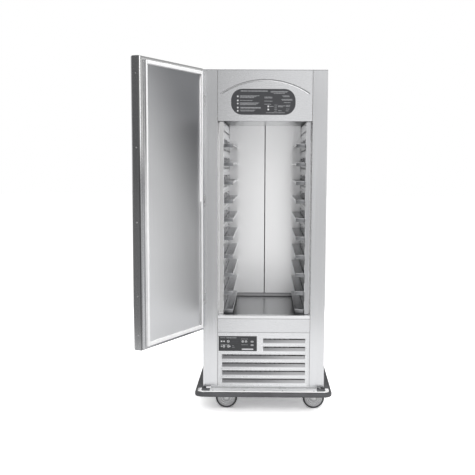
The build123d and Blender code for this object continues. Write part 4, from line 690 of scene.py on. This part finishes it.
def label_print():
    """Blind rows, marks and a small diagram on the instruction plate."""
    left, top, face = -0.190, 1.83825, LABEL_FACE
    title = Shape()
    print_rows(title, left, top, face, [(54, 205, 12)], 5.2)
    print_rows(title, left, top, face, [(52, 165, 102), (52, 165, 106)], 3.6)
    title.piece("label_title", "print")
    rows = Shape()
    lines = [(49, 158, 38), (49, 140, 43), (49, 128, 48), (49, 120, 64), (49, 157, 77)]
    lines += [(49, 150, 82), (49, 140, 87), (49, 135, 117), (54, 128, 122), (221, 318, 13.5)]
    lines += [(221, 312, 18), (238, 299, 25), (186, 230, 45), (186, 230, 50), (186, 230, 67)]
    lines += [(186, 224, 84), (215, 240, 96), (285, 325, 38), (290, 330, 43), (281, 343, 57)]
    lines += [(285, 343, 62), (295, 333, 75), (262, 300, 93), (262, 292, 98), (305, 330, 90)]
    lines += [(305, 330, 97), (308, 326, 110), (306, 322, 120), (262, 282, 120), (196, 300, 131)]
    print_rows(rows, left, top, face, lines, 3.0)
    rows.piece("label_rows", "print")
    marks = Shape()
    columns = ((0.037, 0.004, (41.6, 64, 81, 103, 121)), (0.208, 0.0045, (96, 113)))
    for inset, half, drops in columns:
        for drop in drops:
            x, z = left + inset, top - drop / 1000
            marks.box((x - half, x + half), ink(face), (z - half, z + half))
    marks.piece("label_marks", "print_light")
    diagram = Shape()
    for x in (246, 252):
        span = (left + (x - 0.5) / 1000, left + (x + 0.5) / 1000)
        diagram.box(span, ink(face), (top - 0.124, top - 0.088))
    for drop in (88, 100, 112, 124):
        z = top - drop / 1000
        diagram.box((left + 0.240, left + 0.258), ink(face), (z - 0.0006, z + 0.0006))
    diagram.piece("label_diagram", "print")


def plate_print():
    """Blind markings around the keys and the display of the control plate."""
    left, top, face = -0.260, 0.4377, PLATE_FACE
    rows = Shape()
    lines = [(10.5, 39, 9.5), (131, 168, 50), (79, 88, 56)]
    lines += [(79, 94, 65), (12, 62, 50), (131, 168, 16)]
    print_rows(rows, left, top, face, lines, 2.6)
    rows.piece("plate_rows", "print")
    faint = Shape()
    print_rows(faint, left, top, face, [(45, 103, 9.5)], 5)
    faint.piece("plate_faint_rows", "print")
    icons = Shape()
    proud, sunk = ink(0)

    def circle(inner, x, drop):
        """An outline 2 mm wide round a key."""
        outer = inner + 0.002
        section = [(inner, proud), (outer, proud), (outer, sunk), (inner, sunk)]
        icons.lathe(section, (left + x / 1000, face, top - drop / 1000), "Y", 28)

    for x in (139, 158):
        circle(0.0048, x, 30.5)
        across = (left + (x - 2.4) / 1000, left + (x + 2.4) / 1000)
        icons.box(across, ink(face), (top - 0.0329, top - 0.0281))
    for x, drop, wide in ((17, 30.5, 9), (31, 30.5, 9), (16, 59.7, 5), (66, 59.7, 4)):
        across = (left + (x - wide / 2) / 1000, left + (x + wide / 2) / 1000)
        icons.box(across, ink(face), (top - (drop + 3.6) / 1000, top - (drop - 3.6) / 1000))
    for x, drop in ((56, 30.7), (30, 59.7), (56, 59.7)):
        circle(0.0056, x, drop)
    icons.piece("plate_icons", "print_light")
    bar = Shape()
    bar.box((left + 0.134, left + 0.2), ink(face), (top - 0.080, top - 0.0725))
    bar.piece("plate_bar", "print_light")


def diffusers():
    """Slotted strips in the throats beside the pillars, which straighten the curtain of air."""
    inner, slot_inner, slot_outer, outer = 0.2576, 0.2592, 0.2872, 0.2896
    sheet = (-0.435, -0.4338)
    bar, pitch, least = 0.0055, 0.008, 0.002  # least: the shortest bar at the top
    for side, name in SIDES:
        strip = Shape()
        for rail in ((inner, slot_inner), (slot_outer, outer)):
            strip.box([side * x for x in rail], sheet, (THROAT_FOOT, THROAT_TOP))
        z = THROAT_FOOT
        while z < THROAT_TOP - least:
            top = min(z + bar, THROAT_TOP)
            strip.box([side * x for x in (slot_inner, slot_outer)], sheet, (z, top))
            z += pitch
        strip.piece(f"{name}_diffuser", "diffuser")


def screw_heads(name, heads, outward, body="cabinet", turn=None):
    """One piece of screw heads, each given by its place and radius."""
    screws = Shape()
    for place, radius in heads:
        screws.screw(place, outward, radius)
    screws.piece(name, "screw", body, turn=turn)


def slide_levels():
    """The height of each slide's ledge, from the top down."""
    return [TOP_SLIDE - level * SLIDE_PITCH for level in range(SLIDE_LEVELS)]


def slide_screws():
    """Heads that fix each slide to its duct panel."""
    places = [(y, z + 0.024) for z in slide_levels() for y in (-0.392, -0.02, 0.345)]
    for side, name in SIDES:
        heads = [((side * 0.233, y, z), 0.0042) for y, z in places]
        screw_heads(f"{name}_slide_screws", heads, "-X" if side > 0 else "+X")


def slide_ends():
    """Down-turned front ends of the slides, in dark steel that paints the shade at their fronts."""
    across, sheet = (0.1797, 0.2325), (-0.4182, -0.4166)
    drops = [0.02] * (SLIDE_LEVELS - 1) + [0.026]
    for side, name in SIDES:
        ends = Shape()
        for level, drop in zip(slide_levels(), drops):
            z = level - 0.0015
            ends.box([side * x for x in across], sheet, (z - drop, z))
        ends.piece(f"{name}_slide_ends", "slide_end", soft=0.0004)


def seals():
    """Thin seals where sheets meet at the front."""
    foot = Shape()
    foot.box((-0.306, 0.306), (-0.4836, -0.4822), (0.1316, 0.1394))
    foot.piece("foot_seal", "seal")
    seams, depth = Shape(), (-0.4853, -0.4848)
    seams.box((-0.3498, 0.3498), depth, (1.9405, 1.9426))
    seams.box((-0.265, 0.265), depth, (0.5386, 0.541))
    seams.piece("front_seams", "dark_gap")


def cabinet_screws():
    """Heads on the grille, hinges, door edge, rear panel, deck plate and power inlet."""
    grille = [((x, FRONT, 0.149), 0.0036) for x in (-0.256, 0.256)]
    grille += [((x, FRONT, 0.4695), 0.003) for x in (-0.245, 0.245)]
    screw_heads("grille_screws", grille, "-Y")
    heights = [z + step for z in HINGE_HEIGHTS for step in (-0.018, 0.018)]
    screw_heads("hinge_screws", [((-0.3415, -0.488, z), 0.0034) for z in heights], "-Y")
    leaves = [(y, z + 0.0085) for z in HINGE_HEIGHTS for y in (-0.5335, -0.5165)]
    leaves = [((-0.3506, y, z), 0.0026) for y, z in leaves]
    screw_heads("door_leaf_screws", leaves, "-X", "door", DOOR_TURN)
    edge = [((0.349, -0.526, z), 0.0034) for z in (1.86, 1.50, 1.13, 0.76, 0.56)]
    screw_heads("door_edge_screws", edge, "+X", "door", DOOR_TURN)
    rear = [(x, 0.17 + i * 0.285) for x in (-0.338, 0.338) for i in range(7)]
    rear += [(x, z) for x in (-0.2, 0.0, 0.2) for z in (1.925, 0.47)]
    screw_heads("rear_panel_screws", [((x, REAR, z), 0.004) for x, z in rear], "+Y")
    deck = [((x, -0.552, 0.1315), 0.0042) for x in (-0.29, -0.11, 0.11, 0.29)]
    screw_heads("deck_screws", deck, "+Z")
    inlet = [((x, REAR + 0.0015, 0.42), 0.0022) for x in (-0.2845, -0.2355)]
    screw_heads("inlet_screws", inlet, "+Y")


def louvre_hoods():
    """Pressed hoods over the slots of the rear panel, open below."""
    hoods = Shape()
    columns, rows = 40, 8
    lowest, pitch, off_centre, half_width = 0.215, 0.026, 0.115, 0.099
    rise, height, bulge = 0.0085, 0.0155, 0.0075
    round_end = 0.12
    for row in range(7):
        middle = lowest + pitch * row
        for side in (-1, 1):
            grid = []
            for i in range(columns + 1):
                t = 2 * i / columns - 1
                swell = (1 - max(0.0, (abs(t) - (1 - round_end)) / round_end) ** 2) ** 0.5
                x = side * off_centre + t * half_width
                column = []
                for turn in (pi / 2 * j / rows for j in range(rows + 1)):
                    y = REAR + bulge * swell * sin(turn)
                    z = middle + rise - height * swell * (1 - cos(turn))
                    column.append(hoods.bm.verts.new((x, y, z)))
                grid.append(column)
            for first, second in zip(grid, grid[1:]):
                for j in range(rows):
                    hoods.bm.faces.new((first[j], first[j + 1], second[j + 1], second[j]))
    hoods.piece("rear_louvre_hoods", "skin", sheet=0.001)


def inlet_prongs():
    """The power inlet's three contacts."""
    prongs = Shape()
    for x, z in ((-0.27, 0.4165), (-0.26, 0.4255), (-0.25, 0.4165)):
        prongs.box((x - 0.001, x + 0.001), (0.464, 0.484), (z - 0.0032, z + 0.0032))
    prongs.piece("inlet_prongs", "brass", soft=0.0004)


# Each wheel's middle and axle
WHEELS = {
    "front_left": ((-0.2169, -0.415), "Y"),
    "front_right": ((0.2941, -0.415), "Y"),
    "rear_left": ((-0.2555, 0.395), "X"),
    "rear_right": ((0.2555, 0.395), "X"),
}
# Outlines turned about the axles: radius and place along the axle, in millimetres
BEARING_COVER = ((6.6, 14.9), (15.5, 14.9), (15.5, 16.6), (13.8, 18.2), (6.6, 18.2))
AXLE_WASHER = ((8.0, 21.9), (12.6, 21.9), (12.6, 22.8), (11.9, 23.4), (8.0, 23.4))
AXLE_TIP = ((0, 27.9), (6.4, 27.9), (6.4, 28.6), (5.4, 29.2), (0, 29.2))
RIBS = ((36.5, 40, 13.6), (26, 29.5, 13.6), (43, 45.5, 15.4))


def rib_outline(low, high, top):
    """A rounded rib between two radii, which rises from inside the wheel's core."""
    middle, foot = (low + high) / 2, 10.9
    outline = [(low, foot), (low, top - 1), (low + 0.7, top), (middle, top + 0.3)]
    return outline + [(high - 0.7, top), (high, top - 1), (high, foot)]


def wheel_rings():
    """Ribs, bearing covers and washers on both faces of each wheel."""
    for name, ((x, y), axis) in WHEELS.items():
        ribs, covers, washers = Shape(), Shape(), Shape()
        centre = (x, y, WHEEL_HEIGHT)
        for side in (-1, 1):
            for rib in RIBS:
                ribs.ring(rib_outline(*rib), centre, axis, 56, side)
            covers.ring(BEARING_COVER, centre, axis, 40, side)
            washers.ring(AXLE_WASHER, centre, axis, 40, side)
            washers.ring(AXLE_TIP, centre, axis, 32, side)
        ribs.piece(f"{name}_wheel_ribs", "rib", f"{name}_wheel")
        covers.piece(f"{name}_bearing_covers", "zinc", f"{name}_wheel")
        carrier = f"{name}_caster" if name.startswith("front") else "cabinet"
        washers.piece(f"{name}_axle_washers", "zinc", carrier)


def brake_treads():
    """Ridges across the brakes' pedals."""
    for side, name in SIDES:
        tread = Shape()
        x = side * 0.2555
        for step in (88.5, 91, 93.5):
            place = x + step / 1000
            tread.box((place - 0.0005, place + 0.0005), (-0.432, -0.398), (0.1168, 0.1178))
        tread.piece(f"front_{name}_brake_tread", "zinc", f"front_{name}_brake", soft=0.0002)


def door_details():
    """The gasket's bead and flange, and the handle cup's screws and grip ribs."""
    bead = Shape()
    x, y, low, high = 0.306, -0.4894, 0.509, 1.9165
    bead.bead([(-x, y, low), (x, y, low), (x, y, high), (-x, y, high)], 0.0034)
    bead.piece("gasket_bead", "gasket", "door", turn=DOOR_TURN)
    flange = Shape()
    outer, inner, face = 0.3164, 0.2956, (-0.4971, -0.4962)
    foot, top = (0.4986, 0.5194), (1.9061, 1.9269)
    for side in (-1, 1):
        flange.box([side * v for v in (inner, outer)], face, (foot[0], top[1]))
    for span in (foot, top):
        flange.box((-inner, inner), face, span)
    flange.piece("gasket_flange", "gasket", "door", soft=0.0004, turn=DOOR_TURN)
    heads = [((0.289, -0.5355, z), 0.0034) for z in (1.087, 1.173)]
    screw_heads("cup_screws", heads, "-Y", "door", DOOR_TURN)
    grip = Shape()
    for i in range(9):
        z = 1.1 + i * 0.0075
        grip.box((0.2665, 0.2675), (-0.554, -0.54), (z - 0.0012, z + 0.0012))
    grip.piece("cup_grip_ribs", "rubber", "door", soft=0.0003, turn=DOOR_TURN)


def machine_details():
    """The compressor's seam and terminal cover."""
    seam = Shape()
    x, y = 0.17, 0.25
    seam.ring(((81.5, 262), (84, 262.6), (84, 266.4), (81.5, 267)), (x, y, 0), "Z", 64)
    seam.piece("compressor_seam", "black")
    cover = Shape()
    cover.box((x - 0.03, x + 0.03), (y - 0.098, y - 0.074), (0.215, 0.262))
    cover.piece("compressor_terminal_cover", "housing", soft=0.003)


def details():
    """Every piece that the CAD model leaves to the scene."""
    label_print()
    plate_print()
    diffusers()
    slide_screws()
    slide_ends()
    seals()
    cabinet_screws()
    louvre_hoods()
    inlet_prongs()
    wheel_rings()
    brake_treads()
    door_details()
    machine_details()


# ---- floor, light and background


def fade_to_backdrop(tree, lit, pale, grey):
    """What the camera, and metal and glass, see of the floor or world, apart from its light."""
    path = tree.tree.nodes.new("ShaderNodeLightPath")
    seen = tree.math("ADD", path.outputs["Is Glossy Ray"], path.outputs["Is Transmission Ray"])
    mirrored = tree.mix(tree.math("MINIMUM", seen, 1.0), lit, grey)
    return tree.mix(path.outputs["Is Camera Ray"], mirrored, pale)


def make_floor():
    """A sheet of pale paper in a darker room; what metal mirrors of it varies with direction."""
    bm = bmesh.new()
    bmesh.ops.create_grid(bm, x_segments=1, y_segments=1, size=40)
    mesh = bpy.data.meshes.new("floor")
    bm.to_mesh(mesh)
    bm.free()
    floor = bpy.data.objects.new("floor", mesh)
    bpy.context.collection.objects.link(floor)
    material, tree, bsdf = new_material("floor_paper")
    grain = tree.noise((60, 60, 60), 3.0)
    bsdf.inputs["Specular IOR Level"].default_value = 0.0
    x, y, _ = tree.split(tree.here())
    distance, heading = tree.bearing(x, y, 0.5)
    room = tree.ramp(distance, 3.1, 4.0, 0, 1)
    paper = tree.mix(grain, (0.60, 0.60, 0.60, 1), (0.63, 0.63, 0.63, 1))
    pale_paper, dark_room = (1.9, 1.9, 1.9, 1), (0.12, 0.12, 0.12, 1)
    paper = tree.mix(tree.node("LightPath", output="Is Camera Ray"), paper, pale_paper)
    tree.put(bsdf.inputs["Base Color"], tree.mix(room, paper, dark_room))
    tree.put(bsdf.inputs["Roughness"], tree.ramp(grain, 0, 1, 0.9, 1.0))
    far = tree.ramp(heading, -0.28, 0.12, 0.05, 0.55)
    far = tree.math("ADD", far, tree.ramp(heading, 0.35, 0.7, 0, 0.35))
    close = tree.ramp(heading, 0.35, 0.7, 0.3, 0.6)
    black, dim, white = (0, 0, 0, 1), (0.04, 0.04, 0.04, 1), (1, 1, 1, 1)
    pale = tree.mix(room, dim, white)
    glow = fade_to_backdrop(tree, black, pale, tree.mix(room, close, far))
    tree.put(bsdf.inputs["Emission Color"], glow)
    bsdf.inputs["Emission Strength"].default_value = 1.0
    mesh.materials.append(material)


STRIP_HEADING = 0.48


def make_world():
    """A studio: dark to the front left, pale panels in front, and a pale backdrop behind.
    One panel stands to the front right, where STRIP_HEADING says."""
    world = bpy.data.worlds.new("studio")
    bpy.context.scene.world = world
    world.use_nodes = True
    tree = Tree(world.node_tree)
    x, y, z = tree.split(tree.node("TexCoord", output="Generated"))
    _, heading = tree.bearing(x, y, 0.01)
    left = tree.ramp(heading, -0.19, 0.1, 0.13, 1.12)
    right = tree.ramp(heading, 0.3, 0.85, 1.0, 0.45)
    overhead = tree.ramp(heading, 0.3, 0.85, 1.12, 0.6)
    lift = tree.ramp(z, -0.02, 0.18, 0.66, overhead, False)
    front = tree.math("MULTIPLY", tree.math("MULTIPLY", left, right), lift)
    aside = tree.math("ABSOLUTE", tree.math("SUBTRACT", heading, STRIP_HEADING))
    strip = tree.ramp(aside, 0.17, 0.28, 1.0, 0)
    strip = tree.math("MULTIPLY", strip, tree.ramp(z, 0.05, 0.14, 0, 1.0))
    behind = tree.ramp(y, -0.1, 0.5, 0, 1)
    backdrop = tree.ramp(z, 0.0, 0.3, 0.7, 0.3)
    grey = tree.mix(behind, tree.math("ADD", front, strip), backdrop)
    lit, white = (0.92, 0.92, 0.92, 1), (1, 1, 1, 1)
    colour = fade_to_backdrop(tree, lit, white, grey)
    shade = world.node_tree.nodes["Background"]
    tree.put(shade.inputs["Color"], colour)
    shade.inputs["Strength"].default_value = 1.0


def soft_box(name, place, aim, size, power):
    """A rectangular lamp that looks at a point; size in metres and power in watts."""
    data = bpy.data.lights.new(name, "AREA")
    data.shape, data.size, data.size_y, data.energy = "RECTANGLE", size[0], size[1], power
    lamp = bpy.data.objects.new(name, data)
    lamp.location = place
    lamp.rotation_euler = (Vector(aim) - Vector(place)).to_track_quat("-Z", "Y").to_euler()
    bpy.context.collection.objects.link(lamp)
    return lamp


def make_light():
    overhead = soft_box("overhead", (0.05, -1.7, 4.2), (0, 0, 0.6), (0.6, 0.6), 48)
    overhead.visible_glossy = False
    front = soft_box("front_right", (2.6, -4.6, 2.8), (0, 0, 1.0), (2.0, 2.4), 80)
    front.visible_glossy = False
    panel = soft_box("front_panel", (0.02, -4.0, 0.9), (0.0, 0, 0.9), (0.56, 1.7), 0.17)
    panel.visible_camera = False
    panel.data.spread = radians(60)


make_camera()
dress_nodes()
details()
make_floor()
make_world()
make_light()
bpy.context.scene.view_settings.view_transform = "Standard"
